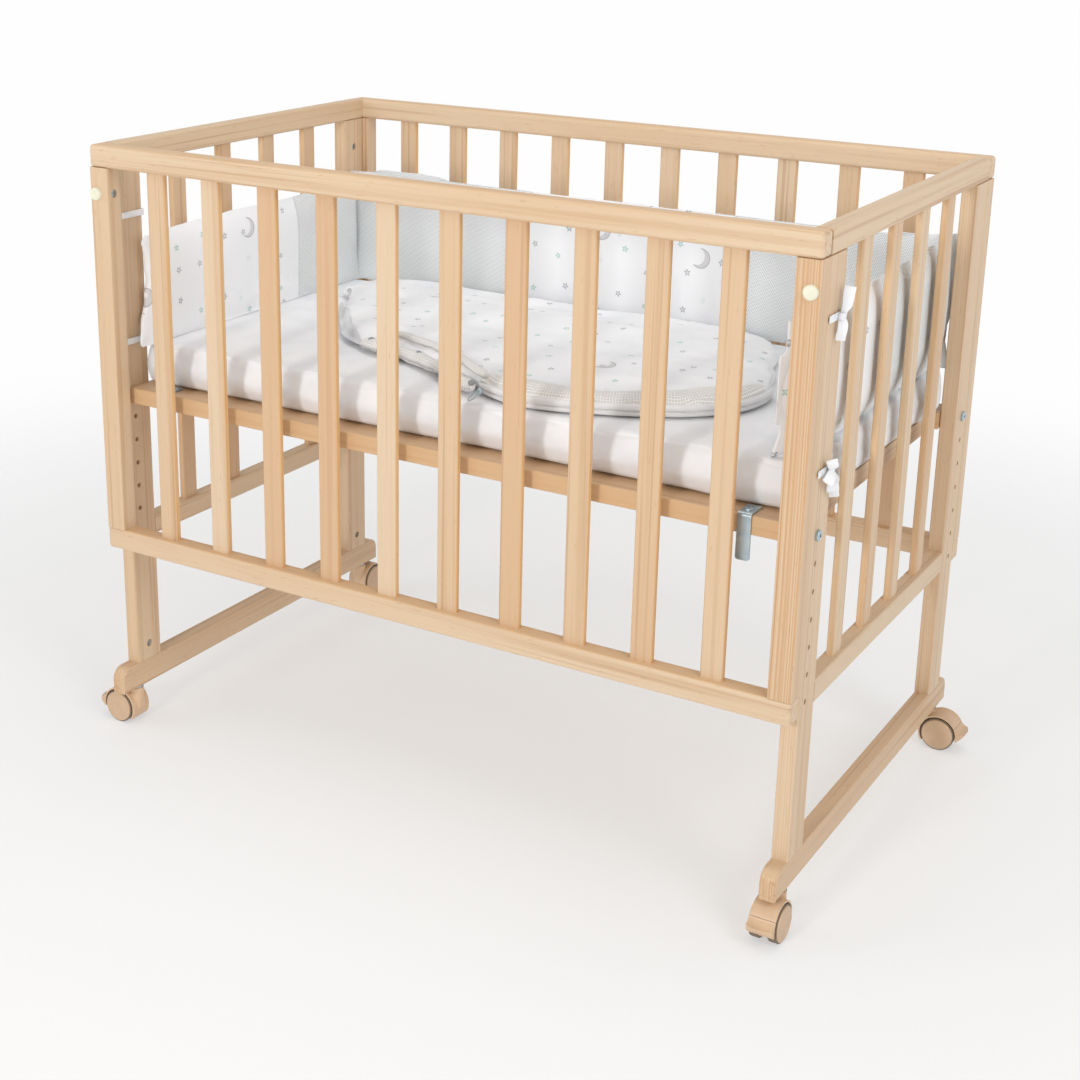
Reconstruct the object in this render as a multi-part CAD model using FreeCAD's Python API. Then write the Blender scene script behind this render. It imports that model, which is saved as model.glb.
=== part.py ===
import FreeCAD, Part
import math
import os

# Bedside sleeper crib in natural wood, on four braked twin-wheel casters. All sizes are in millimetres, +Z is up.
# The origin is on the floor under the crib's middle. +X points right, -Y points to the removable front panel.

# ---- Driving dimensions: the crib as a whole ----
crib_length = 960.0          # outside of one end frame to outside of the other
frame_depth = 538.0          # front face of the front legs to back face of the back legs
caster_height = 54.0         # floor to the underside of the foot rails
leg_length = 680.0           # visible leg, foot rail to end top rail
wood_edge = 2.0              # rounding of the plain long edges

# ---- End frames ----
leg_thickness = 20.0         # along X, also the end rails and foot rails
leg_width = 45.0             # along Y
foot_rail_height = 35.0
foot_rail_overhang = 31.0    # past the legs, front and back
foot_rail_nose = 16.0        # rounding of the upper front and back corners
rail_height = 28.0           # top and bottom rails of all four sides
bottom_rail_rise = 174.5     # foot rail to the underside of the bottom rails
end_slat_count = 4
end_slat_pitch = 95.0

# ---- Front and back panels ----
panel_thickness = 25.0
post_width = 28.0
top_rail_round = 5.0
bottom_rail_round = 3.5
panel_slat_count = 10
panel_slat_pitch = 85.1
panel_slat_inset = 9.5       # outer face of the panel to the slats
slat_width = 27.0
slat_thickness = 9.0
slat_round = 2.5
slat_tenon = 8.0
tenon_shoulder = 5.0         # by which rail and post tenons are smaller than their pieces, all round
tenon_length = 9.0

# ---- Bolts, barrel nuts, pins and caps ----
bolt_radius = 3.0
bolt_clearance = 0.2         # between a bolt and the hole it passes through
nut_clearance = 0.05         # between a bolt and its barrel nut
bolt_head_radius = 6.2
bolt_head_height = 3.5
bolt_socket = 2.3            # corner radius of the six-sided socket
bolt_past_nut = 8.0          # bolt tip beyond the barrel nut's axis
nut_radius = 5.0
nut_sink = 3.0               # nut's end below the wood's face
nut_tail = 7.0               # nut's length beyond its bolt
nut_slot_width = 1.4
nut_slot_depth = 1.2
front_fixing_drop = 33.0     # front bolt below the top of its post
back_fixing_drop = 40.0      # upper back bolt below the top of its post
back_fixing_hole = 4.5       # lower back bolt below the top height hole, in pitches: it runs between two holes
foot_nut_rise = 22.0         # foot nut above the leg's lower end
foot_head_recess = 8.0       # counterbore under the foot rail
cap_radius = 8.3
cap_height = 5.0
cap_plug_radius = 3.5
cap_plug_length = 6.0
pin_radius = 4.0
pin_in_leg = 10.0            # short of the height holes
pin_in_rail = 15.0
pin_clearance = 0.1

# ---- Mattress base and its height holes ----
height_hole_count = 7
height_hole_pitch = 32.0
height_hole_rise = 380.5     # top hole above the leg's lower end
height_hole_inset = 16.5     # from the leg's outer edge
base_rail_width = 45.0
base_rail_height = 22.0
base_rail_inset = 8.0        # base front behind the legs' front faces
base_bolt_drop = 9.5         # bolt axis below the top of the base rail
base_side_gap = 0.5          # base rail end to leg
base_end_inset = 8.5         # base end rail behind the end of the base rail
base_end_rail_width = 20.0
base_nut_depth = 30.0        # nut axis from the end of the base rail
base_slat_count = 9
base_slat_width = 60.0
base_slat_thickness = 8.0
base_tenon = 10.0
slide_gap = 0.1              # bolt head to leg, so that the base can be moved

# ---- Hook brackets ----
hook_width = 16.0
hook_thickness = 2.5
hook_inset = 78.0            # centre of the hook from the outside of the end frame
hook_drop = 51.0             # plate's lower end below the top of the base rail
hook_flange = 30.0
hook_bend = 4.0
hook_corner = 3.0
hook_screw_inset = 9.3       # screw axis behind the rail's front face
screw_radius = 2.0
screw_head_radius = 4.5
screw_head_height = 2.2
screw_length = 17.0

# ---- Casters ----
wheel_radius = 22.5
wheel_width = 13.0
wheel_gap = 10.0             # between the two wheels
disc_radius = 20.6
disc_step = 1.5
axle_radius = 2.0
axle_end_gap = 0.3
running_clearance = 0.05     # wheels and brake lever on the axle, housing on the stem
caster_trail = 19.0          # wheel axis beside the stem axis
stem_inset_x = 10.0          # stem axis from the outer face of the end frame
stem_inset_y = 34.0          # stem axis from the foot rail's end
stem_radius = 4.0
stem_in_rail = 25.0
stem_flange_radius = 9.0
stem_flange_height = 2.0
stem_bore_depth = 13.0
boss_radius = 10.0
boss_gap = 0.3
hood_gap = 1.8               # wheel tread to the inside of the hood
hood_thickness = 2.2
hood_width = 31.0
hood_start = 31.0            # degrees above the horizontal on the lever's side
hood_end = 213.0             # degrees, low on the other side
web_width = 9.0
web_start = 42.0
lever_top = 30.0
lever_bottom = -12.0
tongue_top = 12.0
tongue_bottom = -10.0
tongue_hub_radius = 5.0
tab_reach = 9.5              # tab tip beyond the hood
tab_side_reach = 5.0         # tab's corners beyond the hood
tab_tip_rise = 6.5           # tip above the wheel axis
tab_tip_thickness = 2.6

# ---- Soft goods ----
mattress_end_gap = 10.0      # leaves 900, a standard mattress length
mattress_side_gap = 36.0     # behind the base's front and back; leaves 450, a standard width
mattress_thickness = 55.0
mattress_corner = 40.0
mattress_draw_in = 3.0       # how far the sides pull in between the corners
bumper_thickness = 20.0
bumper_edge = 3.0
bumper_end_fullness = 0.6    # share of the thickness that is left where two lengths meet
bumper_gap = 0.3             # bumper to leg and slats, and above the mattress
bumper_drop = 75.0           # plain top edge below the top of the legs
bumper_back_inset = 19.0     # outer face of the back length before the back legs' back faces
bumper_fold = 37.0           # how far the right length's free end folds in
bumper_fold_run = 94.0       # the length over which it folds
bag_thickness = 26.0
ribbon_width = 10.0
ribbon_thickness = 1.2
ribbon_gap = 0.3
bow_upper_drop = 65.0        # upper bows below the top of the legs
bow_lower_rise = 6.0         # lower bows above the top of the mattress

# ---- Places that follow from the sizes ----
half_length = crib_length / 2
half_depth = frame_depth / 2
leg_inner_x = half_length - leg_thickness
leg_axis_x = half_length - leg_thickness / 2
leg_axis_y = half_depth - leg_width / 2
leg_inner_y = half_depth - leg_width
leg_foot_z = caster_height + foot_rail_height
leg_top_z = leg_foot_z + leg_length
top_z = leg_top_z + rail_height
bottom_rail_low_z = leg_foot_z + bottom_rail_rise
bottom_rail_top_z = bottom_rail_low_z + rail_height
panel_outer_y = half_depth + panel_thickness
post_inner_x = half_length - post_width
top_hole_z = leg_foot_z + height_hole_rise
base_top_z = top_hole_z + base_bolt_drop
base_low_z = base_top_z - base_rail_height
base_front_y = half_depth - base_rail_inset
base_inner_y = base_front_y - base_rail_width
base_end_x = leg_inner_x - base_side_gap
base_end_rail_x = base_end_x - base_end_inset
hook_x = half_length - hook_inset
mattress_length = 2 * (leg_inner_x - mattress_end_gap)
mattress_width = 2 * (base_front_y - mattress_side_gap)
mattress_top_z = base_top_z + mattress_thickness
bumper_outer_x = leg_inner_x - bumper_gap
bumper_low_z = mattress_top_z + bumper_gap
bumper_height = leg_top_z - bumper_drop - bumper_low_z
bumper_back_depth = half_depth - bumper_back_inset
stem_x = half_length - stem_inset_x
stem_y = half_depth + foot_rail_overhang - stem_inset_y
hood_inner = wheel_radius + hood_gap
hood_outer = hood_inner + hood_thickness

LEFT, RIGHT, FRONT, BACK = -1, 1, -1, 1


def point(x, y, z):
    return FreeCAD.Vector(x, y, z)


def block(x_ends, y_ends, z_ends):
    """A box between two values along each axis, given in either order."""
    low = [min(ends) for ends in (x_ends, y_ends, z_ends)]
    high = [max(ends) for ends in (x_ends, y_ends, z_ends)]
    return Part.makeBox(high[0] - low[0], high[1] - low[1], high[2] - low[2], point(*low))


def rod(radius, start, end):
    return Part.makeCylinder(radius, (end - start).Length, start, end - start)


def round_edges(shape, radius, axis=None, chosen=lambda middle: True):
    """Rounds the straight edges along one axis whose middle is chosen, or all edges when no axis is given."""
    edges = []
    for edge in shape.Edges:
        along = edge.Vertexes[-1].Point - edge.Vertexes[0].Point
        parallel = axis is None or abs(along[axis]) > 0.999 * along.Length
        if parallel and chosen(edge.CenterOfMass):
            edges.append(edge)
    return shape.makeFillet(radius, edges)


def fuse(pieces):
    shape = pieces[0]
    if len(pieces) > 1:
        shape = shape.fuse(pieces[1:])
    return shape.removeSplitter()


def cut(shape, tools):
    return shape.cut(tools) if tools else shape


def mirror_x(shape):
    return shape.mirror(point(0, 0, 0), point(1, 0, 0))


def mirror_y(shape):
    return shape.mirror(point(0, 0, 0), point(0, 1, 0))


def tenoned(body, start_tenon, end_tenon):
    return fuse([body, start_tenon, end_tenon])


# ---- Fasteners ----

def bolt(seat, direction, length, head_out=0.0):
    """A round-headed bolt. The head's underside is on the seat, the shank runs along the direction."""
    seat = seat - direction * head_out
    head = Part.makeCylinder(bolt_head_radius, bolt_head_height, seat, direction * -1)
    rim = [edge for edge in head.Edges if (edge.CenterOfMass - seat).Length > bolt_head_height / 2]
    rim = [edge for edge in rim if edge.Length > bolt_head_radius * 6]
    head = head.makeFillet(bolt_head_height * 0.45, rim)
    shank = Part.makeCylinder(bolt_radius, length + head_out, seat, direction)
    corner = FreeCAD.Vector(direction.z, direction.x, direction.y)
    turn = FreeCAD.Rotation(direction, 60)
    socket_seat = seat - direction * bolt_head_height
    corners = []
    spoke = corner * bolt_socket
    for _ in range(7):
        corners.append(socket_seat + spoke)
        spoke = turn.multVec(spoke)
    socket = Part.Face(Part.makePolygon(corners)).extrude(direction * (bolt_head_height * 0.7))
    return fuse([head, shank]).cut(socket)


def bolt_hole(seat, direction, length):
    return Part.makeCylinder(bolt_radius + bolt_clearance, length, seat, direction)


def barrel_nut(mouth, direction, bolt_axis, bolt_depth):
    """A cross dowel pushed in along the direction from the wood's face, bored where its bolt passes."""
    start = mouth + direction * nut_sink
    nut = Part.makeCylinder(nut_radius, bolt_depth - nut_sink + nut_tail, start, direction)
    bore_start = mouth + direction * bolt_depth - bolt_axis * (2 * nut_radius)
    bore = Part.makeCylinder(bolt_radius + nut_clearance, 4 * nut_radius, bore_start, bolt_axis)
    across = bolt_axis * (2 * nut_radius)
    side = direction.cross(bolt_axis) * (nut_slot_width / 2)
    corners = [start - across - side, start + across - side, start + across + side, start - across + side]
    slot = Part.Face(Part.makePolygon(corners + corners[:1])).extrude(direction * nut_slot_depth)
    return nut.cut([bore, slot])


def nut_hole(mouth, direction, bolt_depth):
    return Part.makeCylinder(nut_radius, bolt_depth + nut_tail, mouth, direction)


# ---- Slats ----

def upright_slat(x, y, width_x, width_y):
    """A flat slat between bottom and top rail, with its ends let into both."""
    slat = block(
        (x - width_x / 2, x + width_x / 2),
        (y - width_y / 2, y + width_y / 2),
        (bottom_rail_top_z - slat_tenon, leg_top_z + slat_tenon),
    )
    return round_edges(slat, slat_round, 2)


def centred_row(count, pitch):
    return [(i - (count - 1) / 2) * pitch for i in range(count)]


def panel_slats(side):
    y = side * (panel_outer_y - panel_slat_inset - slat_thickness / 2)
    return [upright_slat(x, y, slat_width, slat_thickness) for x in centred_row(panel_slat_count, panel_slat_pitch)]


def end_slats(side):
    x = side * leg_axis_x
    return [upright_slat(x, y, slat_thickness, slat_width) for y in centred_row(end_slat_count, end_slat_pitch)]


# ---- Front and back panels ----

def panel_y(side):
    return (side * half_depth, side * panel_outer_y)


def panel_post(side_x, side_y):
    body = block((side_x * post_inner_x, side_x * half_length), panel_y(side_y), (bottom_rail_top_z, leg_top_z))
    body = round_edges(body, wood_edge, 2)
    tenon_x = (side_x * (post_inner_x + tenon_shoulder), side_x * (half_length - tenon_shoulder))
    tenon_y = (side_y * (half_depth + tenon_shoulder), side_y * (panel_outer_y - tenon_shoulder))
    low = block(tenon_x, tenon_y, (bottom_rail_top_z - tenon_length, bottom_rail_top_z))
    high = block(tenon_x, tenon_y, (leg_top_z, leg_top_z + tenon_length))
    return tenoned(body, low, high)


def panel_rail(side_y, z_ends, rounding):
    return round_edges(block((-half_length, half_length), panel_y(side_y), z_ends), rounding)


def front_bolt_seat(side_x):
    return point(side_x * leg_axis_x, -leg_inner_y, leg_top_z - front_fixing_drop)


def front_pin_ends(side_x):
    x = side_x * leg_axis_x
    z = bottom_rail_low_z + rail_height / 2
    return point(x, -half_depth + pin_in_leg, z), point(x, -half_depth - pin_in_rail, z)


def back_bolt_heights():
    return (top_hole_z - back_fixing_hole * height_hole_pitch, leg_top_z - back_fixing_drop)


def back_bolt_seats(side_x):
    return [point(side_x * leg_axis_x, panel_outer_y, z) for z in back_bolt_heights()]


def back_nut_mouths(side_x):
    return [point(side_x * leg_inner_x, leg_axis_y, z) for z in back_bolt_heights()]


def make_front_panel():
    parts = {}
    slats = panel_slats(FRONT)
    posts = {side: panel_post(side, FRONT) for side in (LEFT, RIGHT)}
    inward = {side: point(side, 0, 0) for side in (LEFT, RIGHT)}
    outward = point(0, -1, 0)
    caps = []
    nuts = []
    pin_holes = []
    top_rail = cut(panel_rail(FRONT, (leg_top_z, top_z), top_rail_round), slats + list(posts.values()))
    bottom_rail = panel_rail(FRONT, (bottom_rail_low_z, bottom_rail_top_z), bottom_rail_round)
    for side in (LEFT, RIGHT):
        seat = front_bolt_seat(side)
        mouth = point(side * post_inner_x, -(half_depth + panel_thickness / 2), seat.z)
        nuts.append(barrel_nut(mouth, inward[side], outward, leg_axis_x - post_inner_x))
        socket = nut_hole(mouth, inward[side], leg_axis_x - post_inner_x)
        bore_start = point(seat.x, -half_depth, seat.z)
        bore = bolt_hole(bore_start, outward, panel_thickness - cap_plug_length)
        plug_start = point(seat.x, -panel_outer_y + cap_plug_length, seat.z)
        plug_bore = Part.makeCylinder(cap_plug_radius, cap_plug_length, plug_start, outward)
        pin_start, pin_end = front_pin_ends(side)
        pin_hole = rod(pin_radius + pin_clearance, pin_start, pin_end + outward * pin_clearance)
        pin_holes.append(pin_hole)
        posts[side] = cut(posts[side], [socket, bore, plug_bore, pin_hole])
        plug = Part.makeCylinder(cap_plug_radius, cap_plug_length, plug_start, outward)
        crown_start = point(seat.x, -panel_outer_y, seat.z)
        crown = Part.makeCylinder(cap_radius, cap_height, crown_start, outward)
        rim = max(crown.Edges, key=lambda edge: -edge.CenterOfMass.y + edge.Length / 1000)
        crown = crown.makeFillet(cap_height * 0.7, [rim])
        caps.append(fuse([crown, plug]))
    parts["front_top_rail"] = [top_rail]
    parts["front_bottom_rail"] = [cut(bottom_rail, slats + list(posts.values()) + pin_holes)]
    parts["front_slats"] = slats
    parts["front_post_left"] = [posts[LEFT]]
    parts["front_post_right"] = [posts[RIGHT]]
    parts["front_bolt_caps"] = caps
    parts["front_barrel_nuts"] = nuts
    return parts


def make_back_panel():
    parts = {}
    slats = panel_slats(BACK)
    posts = [panel_post(side, BACK) for side in (LEFT, RIGHT)]
    inward = point(0, -1, 0)
    holes = [bolt_hole(seat, inward, panel_thickness) for side in (LEFT, RIGHT) for seat in back_bolt_seats(side)]
    top_rail = panel_rail(BACK, (leg_top_z, top_z), top_rail_round)
    bottom_rail = panel_rail(BACK, (bottom_rail_low_z, bottom_rail_top_z), bottom_rail_round)
    parts["back_top_rail"] = [cut(top_rail, slats + posts)]
    parts["back_bottom_rail"] = [cut(bottom_rail, slats + posts + holes)]
    parts["back_slats"] = slats
    parts["back_posts"] = [cut(post, holes) for post in posts]
    return parts


# ---- End frames ----

def end_x(side):
    return (side * leg_inner_x, side * half_length)


def tenon_x(side):
    return (side * (leg_inner_x + tenon_shoulder), side * (half_length - tenon_shoulder))


def end_top_rail(side):
    rail = block(end_x(side), (-half_depth, half_depth), (leg_top_z, top_z))
    return round_edges(rail, bottom_rail_round, 1)


def end_bottom_rail(side):
    z_ends = (bottom_rail_low_z, bottom_rail_top_z)
    body = round_edges(block(end_x(side), (-leg_inner_y, leg_inner_y), z_ends), bottom_rail_round, 1)
    tenon_z = (bottom_rail_low_z + tenon_shoulder, bottom_rail_top_z - tenon_shoulder)
    front = block(tenon_x(side), (-leg_inner_y - tenon_length, -leg_inner_y), tenon_z)
    back = block(tenon_x(side), (leg_inner_y, leg_inner_y + tenon_length), tenon_z)
    return tenoned(body, front, back)


def height_holes(side_x, side_y):
    y = side_y * (half_depth - height_hole_inset)
    holes = []
    for i in range(height_hole_count):
        z = top_hole_z - i * height_hole_pitch
        holes.append(bolt_hole(point(side_x * leg_inner_x, y, z), point(side_x, 0, 0), leg_thickness))
    return holes


def foot_bolt_seat(side_x, side_y):
    return point(side_x * leg_axis_x, side_y * leg_axis_y, caster_height + foot_head_recess)


def foot_bolt_length():
    return foot_rail_height - foot_head_recess + foot_nut_rise + bolt_past_nut


def foot_nut_mouth(side_x, side_y):
    return point(side_x * leg_inner_x, side_y * leg_axis_y, leg_foot_z + foot_nut_rise)


def leg(side_x, side_y):
    y_ends = (side_y * leg_inner_y, side_y * half_depth)
    body = round_edges(block(end_x(side_x), y_ends, (leg_foot_z, leg_top_z)), wood_edge, 2)
    tenon_y = (side_y * (leg_inner_y + tenon_shoulder), side_y * (half_depth - tenon_shoulder))
    body = fuse([body, block(tenon_x(side_x), tenon_y, (leg_top_z, leg_top_z + tenon_length))])
    outward = point(side_x, 0, 0)
    up = point(0, 0, 1)
    holes = height_holes(side_x, side_y)
    holes.append(bolt_hole(foot_bolt_seat(side_x, side_y), up, foot_bolt_length()))
    holes.append(nut_hole(foot_nut_mouth(side_x, side_y), outward, leg_thickness / 2))
    if side_y == FRONT:
        holes.append(bolt_hole(front_bolt_seat(side_x), point(0, -1, 0), leg_width))
        pin_start, pin_end = front_pin_ends(side_x)
        holes.append(rod(pin_radius, pin_start, pin_end))
    else:
        holes += [nut_hole(mouth, outward, leg_thickness / 2) for mouth in back_nut_mouths(side_x)]
        reach = back_bolt_length()
        holes += [bolt_hole(seat, point(0, -1, 0), reach) for seat in back_bolt_seats(side_x)]
    return cut(body, holes)


def back_bolt_length():
    return panel_thickness + leg_width / 2 + bolt_past_nut


def front_bolt_length():
    return leg_width + panel_thickness / 2 + nut_radius + nut_clearance


def foot_rail(side):
    end_y = half_depth + foot_rail_overhang
    rail = block(end_x(side), (-end_y, end_y), (caster_height, leg_foot_z))
    rail = round_edges(rail, foot_rail_nose, 0, lambda middle: middle.z > leg_foot_z - 1)
    outline = [edge for edge in rail.Edges if abs(abs(edge.CenterOfMass.x) - leg_axis_x) > leg_thickness * 0.45]
    rail = rail.makeFillet(wood_edge, outline)
    holes = []
    for side_y in (FRONT, BACK):
        seat = foot_bolt_seat(side, side_y)
        holes.append(bolt_hole(seat, point(0, 0, 1), foot_rail_height))
        below = point(seat.x, seat.y, caster_height)
        holes.append(rod(bolt_head_radius + bolt_clearance, below, seat))
        stem_hole = point(side * stem_x, side_y * stem_y, caster_height)
        holes.append(Part.makeCylinder(stem_radius, stem_in_rail, stem_hole, point(0, 0, 1)))
    return cut(rail, holes)


def make_end_frames():
    parts = {}
    all_slats = []
    for side, name in ((LEFT, "left"), (RIGHT, "right")):
        slats = end_slats(side)
        legs = {FRONT: leg(side, FRONT), BACK: leg(side, BACK)}
        bottom_rail = end_bottom_rail(side)
        parts["leg_front_" + name] = [cut(legs[FRONT], [bottom_rail])]
        parts["leg_back_" + name] = [cut(legs[BACK], [bottom_rail])]
        parts["foot_rail_" + name] = [foot_rail(side)]
        parts["end_top_rail_" + name] = [cut(end_top_rail(side), slats + list(legs.values()))]
        parts["end_bottom_rail_" + name] = [cut(bottom_rail, slats)]
        all_slats += slats
    parts["end_slats"] = all_slats
    return parts


def make_frame_fasteners():
    bolts = []
    nuts = []
    pins = []
    up = point(0, 0, 1)
    for side_x in (LEFT, RIGHT):
        outward = point(side_x, 0, 0)
        for side_y in (FRONT, BACK):
            bolts.append(bolt(foot_bolt_seat(side_x, side_y), up, foot_bolt_length()))
            nuts.append(barrel_nut(foot_nut_mouth(side_x, side_y), outward, up, leg_thickness / 2))
        bolts.append(bolt(front_bolt_seat(side_x), point(0, -1, 0), front_bolt_length()))
        for seat in back_bolt_seats(side_x):
            bolts.append(bolt(seat, point(0, -1, 0), back_bolt_length()))
        for mouth in back_nut_mouths(side_x):
            nuts.append(barrel_nut(mouth, outward, point(0, 1, 0), leg_thickness / 2))
        pins.append(rod(pin_radius, *front_pin_ends(side_x)))
    return {
        "frame_bolts": bolts,
        "frame_barrel_nuts": nuts,
        "front_panel_pins": pins,
    }


# ---- Mattress base ----

def base_rail(side_y):
    y_ends = (side_y * base_inner_y, side_y * base_front_y)
    return round_edges(block((-base_end_x, base_end_x), y_ends, (base_low_z, base_top_z)), wood_edge, 0)


def base_end_rail(side_x):
    x_ends = (side_x * (base_end_rail_x - base_end_rail_width), side_x * base_end_rail_x)
    body = block(x_ends, (-base_inner_y, base_inner_y), (base_low_z, base_top_z))
    tenon = (side_x * (base_end_rail_x - base_end_rail_width + tenon_shoulder), side_x * (base_end_rail_x - tenon_shoulder))
    tenon_z = (base_low_z + tenon_shoulder, base_top_z - tenon_shoulder)
    front = block(tenon, (-base_inner_y - base_tenon, -base_inner_y), tenon_z)
    back = block(tenon, (base_inner_y, base_inner_y + base_tenon), tenon_z)
    return tenoned(body, front, back)


def base_slats():
    span = 2 * (base_end_rail_x - base_end_rail_width)
    gap = (span - base_slat_count * base_slat_width) / (base_slat_count + 1)
    pitch = base_slat_width + gap
    y = base_inner_y + base_tenon
    slats = []
    for x in centred_row(base_slat_count, pitch):
        ends = (x - base_slat_width / 2, x + base_slat_width / 2)
        slats.append(block(ends, (-y, y), (base_top_z - base_slat_thickness, base_top_z)))
    return slats


def base_bolt_seat(side_x, side_y):
    return point(side_x * half_length, side_y * (half_depth - height_hole_inset), top_hole_z)


def base_bolt_length():
    return leg_thickness + base_side_gap + base_nut_depth + bolt_past_nut


def base_nut_mouth(side_x, side_y):
    return point(side_x * (base_end_x - base_nut_depth), base_bolt_seat(side_x, side_y).y, base_low_z)


def hook_bracket(x):
    """An angle plate: the flange lies on the base's front rail and the plate hangs in front of it."""
    x_ends = (x - hook_width / 2, x + hook_width / 2)
    front = -base_front_y - hook_thickness
    plate = block(x_ends, (front, -base_front_y), (base_top_z - hook_drop, base_top_z + hook_thickness))
    flange = block(x_ends, (front, front + hook_flange), (base_top_z, base_top_z + hook_thickness))
    plate = round_edges(plate, hook_corner, 1, lambda middle: middle.z < base_top_z - hook_drop + 0.1)
    bracket = fuse([plate, flange])
    bracket = round_edges(bracket, hook_bend, 0, lambda middle: middle.y < front + 0.1 and middle.z > base_top_z)
    hole = Part.makeCylinder(screw_radius, hook_thickness, hook_screw_seat(x) - point(0, 0, hook_thickness))
    return bracket.cut(hole)


def hook_screw_seat(x):
    return point(x, -base_front_y + hook_screw_inset, base_top_z + hook_thickness)


def hook_screw(x):
    seat = hook_screw_seat(x)
    head = Part.makeCylinder(screw_head_radius, screw_head_height, seat)
    rim = max(head.Edges, key=lambda edge: edge.CenterOfMass.z + edge.Length / 1000)
    head = head.makeFillet(screw_head_height * 0.6, [rim])
    shank = Part.makeCylinder(screw_radius, screw_length, seat, point(0, 0, -1))
    arm = screw_head_radius * 0.5
    groove = 0.5
    top = seat.z + screw_head_height
    depth = screw_head_height * 0.6
    slots = [
        block((x - arm, x + arm), (seat.y - groove, seat.y + groove), (top - depth, top)),
        block((x - groove, x + groove), (seat.y - arm, seat.y + arm), (top - depth, top)),
    ]
    return fuse([head, shank]).cut(slots)


def make_mattress_base():
    parts = {}
    slats = base_slats()
    ends = [base_end_rail(side) for side in (LEFT, RIGHT)]
    bolts = []
    nuts = []
    cuts = {FRONT: [], BACK: []}
    up = point(0, 0, 1)
    for side_x in (LEFT, RIGHT):
        inward = point(-side_x, 0, 0)
        for side_y in (FRONT, BACK):
            seat = base_bolt_seat(side_x, side_y)
            bolts.append(bolt(seat, inward, base_bolt_length(), slide_gap))
            mouth = base_nut_mouth(side_x, side_y)
            nuts.append(barrel_nut(mouth, up, inward, top_hole_z - base_low_z))
            cuts[side_y].append(nut_hole(mouth, up, top_hole_z - base_low_z))
            cuts[side_y].append(bolt_hole(seat, inward, base_bolt_length()))
    hooks = [hook_bracket(side * hook_x) for side in (LEFT, RIGHT)]
    screws = [hook_screw(side * hook_x) for side in (LEFT, RIGHT)]
    parts["base_front_rail"] = [cut(base_rail(FRONT), slats + ends + cuts[FRONT] + screws)]
    parts["base_back_rail"] = [cut(base_rail(BACK), slats + ends + cuts[BACK])]
    parts["base_end_rails"] = ends
    parts["base_slats"] = slats
    parts["base_bolts"] = bolts
    parts["base_barrel_nuts"] = nuts
    parts["hook_brackets"] = hooks
    parts["hook_screws"] = screws
    return parts


# ---- Casters, built with the stem at the origin and the brake tab along +X ----

def wheel_point(radius, degrees, y=0.0):
    angle = math.radians(degrees)
    return point(caster_trail + radius * math.cos(angle), y, wheel_radius + radius * math.sin(angle))


def ring_sector(inner, outer, start, end, y_ends):
    """A curved wall about the wheel axis between two angles, or a wedge when the inner radius is zero."""
    y = min(y_ends)
    middle = (start + end) / 2
    rim = Part.Arc(wheel_point(outer, start, y), wheel_point(outer, middle, y), wheel_point(outer, end, y)).toShape()
    if inner > 0:
        back = Part.Arc(wheel_point(inner, end, y), wheel_point(inner, middle, y), wheel_point(inner, start, y)).toShape()
        closing = [back]
        corners = (wheel_point(inner, end, y), wheel_point(inner, start, y))
    else:
        closing = []
        corners = (wheel_point(0, 0, y), wheel_point(0, 0, y))
    first = Part.makeLine(wheel_point(outer, end, y), corners[0])
    last = Part.makeLine(corners[1], wheel_point(outer, start, y))
    face = Part.Face(Part.Wire([rim, first] + closing + [last]))
    return face.extrude(point(0, abs(y_ends[1] - y_ends[0]), 0))


def wheel_cylinder(radius, y_ends):
    low = min(y_ends)
    return Part.makeCylinder(radius, max(y_ends) - low, wheel_point(0, 0, low), point(0, 1, 0))


def caster_housing():
    half_hood = hood_width / 2
    half_web = web_width / 2
    hood = ring_sector(hood_inner, hood_outer, hood_start, hood_end, (-half_hood, half_hood))
    boss_top = caster_height - stem_flange_height - boss_gap
    boss = Part.makeCylinder(boss_radius, boss_top - wheel_radius, point(0, 0, wheel_radius))
    boss = boss.cut(wheel_cylinder(hood_inner, (-2 * boss_radius, 2 * boss_radius)))
    web = ring_sector(0, hood_inner + hood_thickness / 2, web_start, hood_end, (-half_web, half_web))
    web = web.cut(wheel_cylinder(tongue_hub_radius + hood_gap / 2, (0, half_web)))
    hub = wheel_cylinder(tongue_hub_radius, (-half_web, -running_clearance))
    shape = fuse([hood, boss, web, hub])
    bore = Part.makeCylinder(stem_radius + running_clearance, stem_bore_depth, point(0, 0, boss_top - stem_bore_depth))
    axle = wheel_cylinder(axle_radius, (-half_web, half_web))
    return shape.cut([bore, axle])


def caster_axle():
    half = wheel_gap / 2 + wheel_width - disc_step - 1.0 - axle_end_gap
    return wheel_cylinder(axle_radius, (-half, half))


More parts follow.
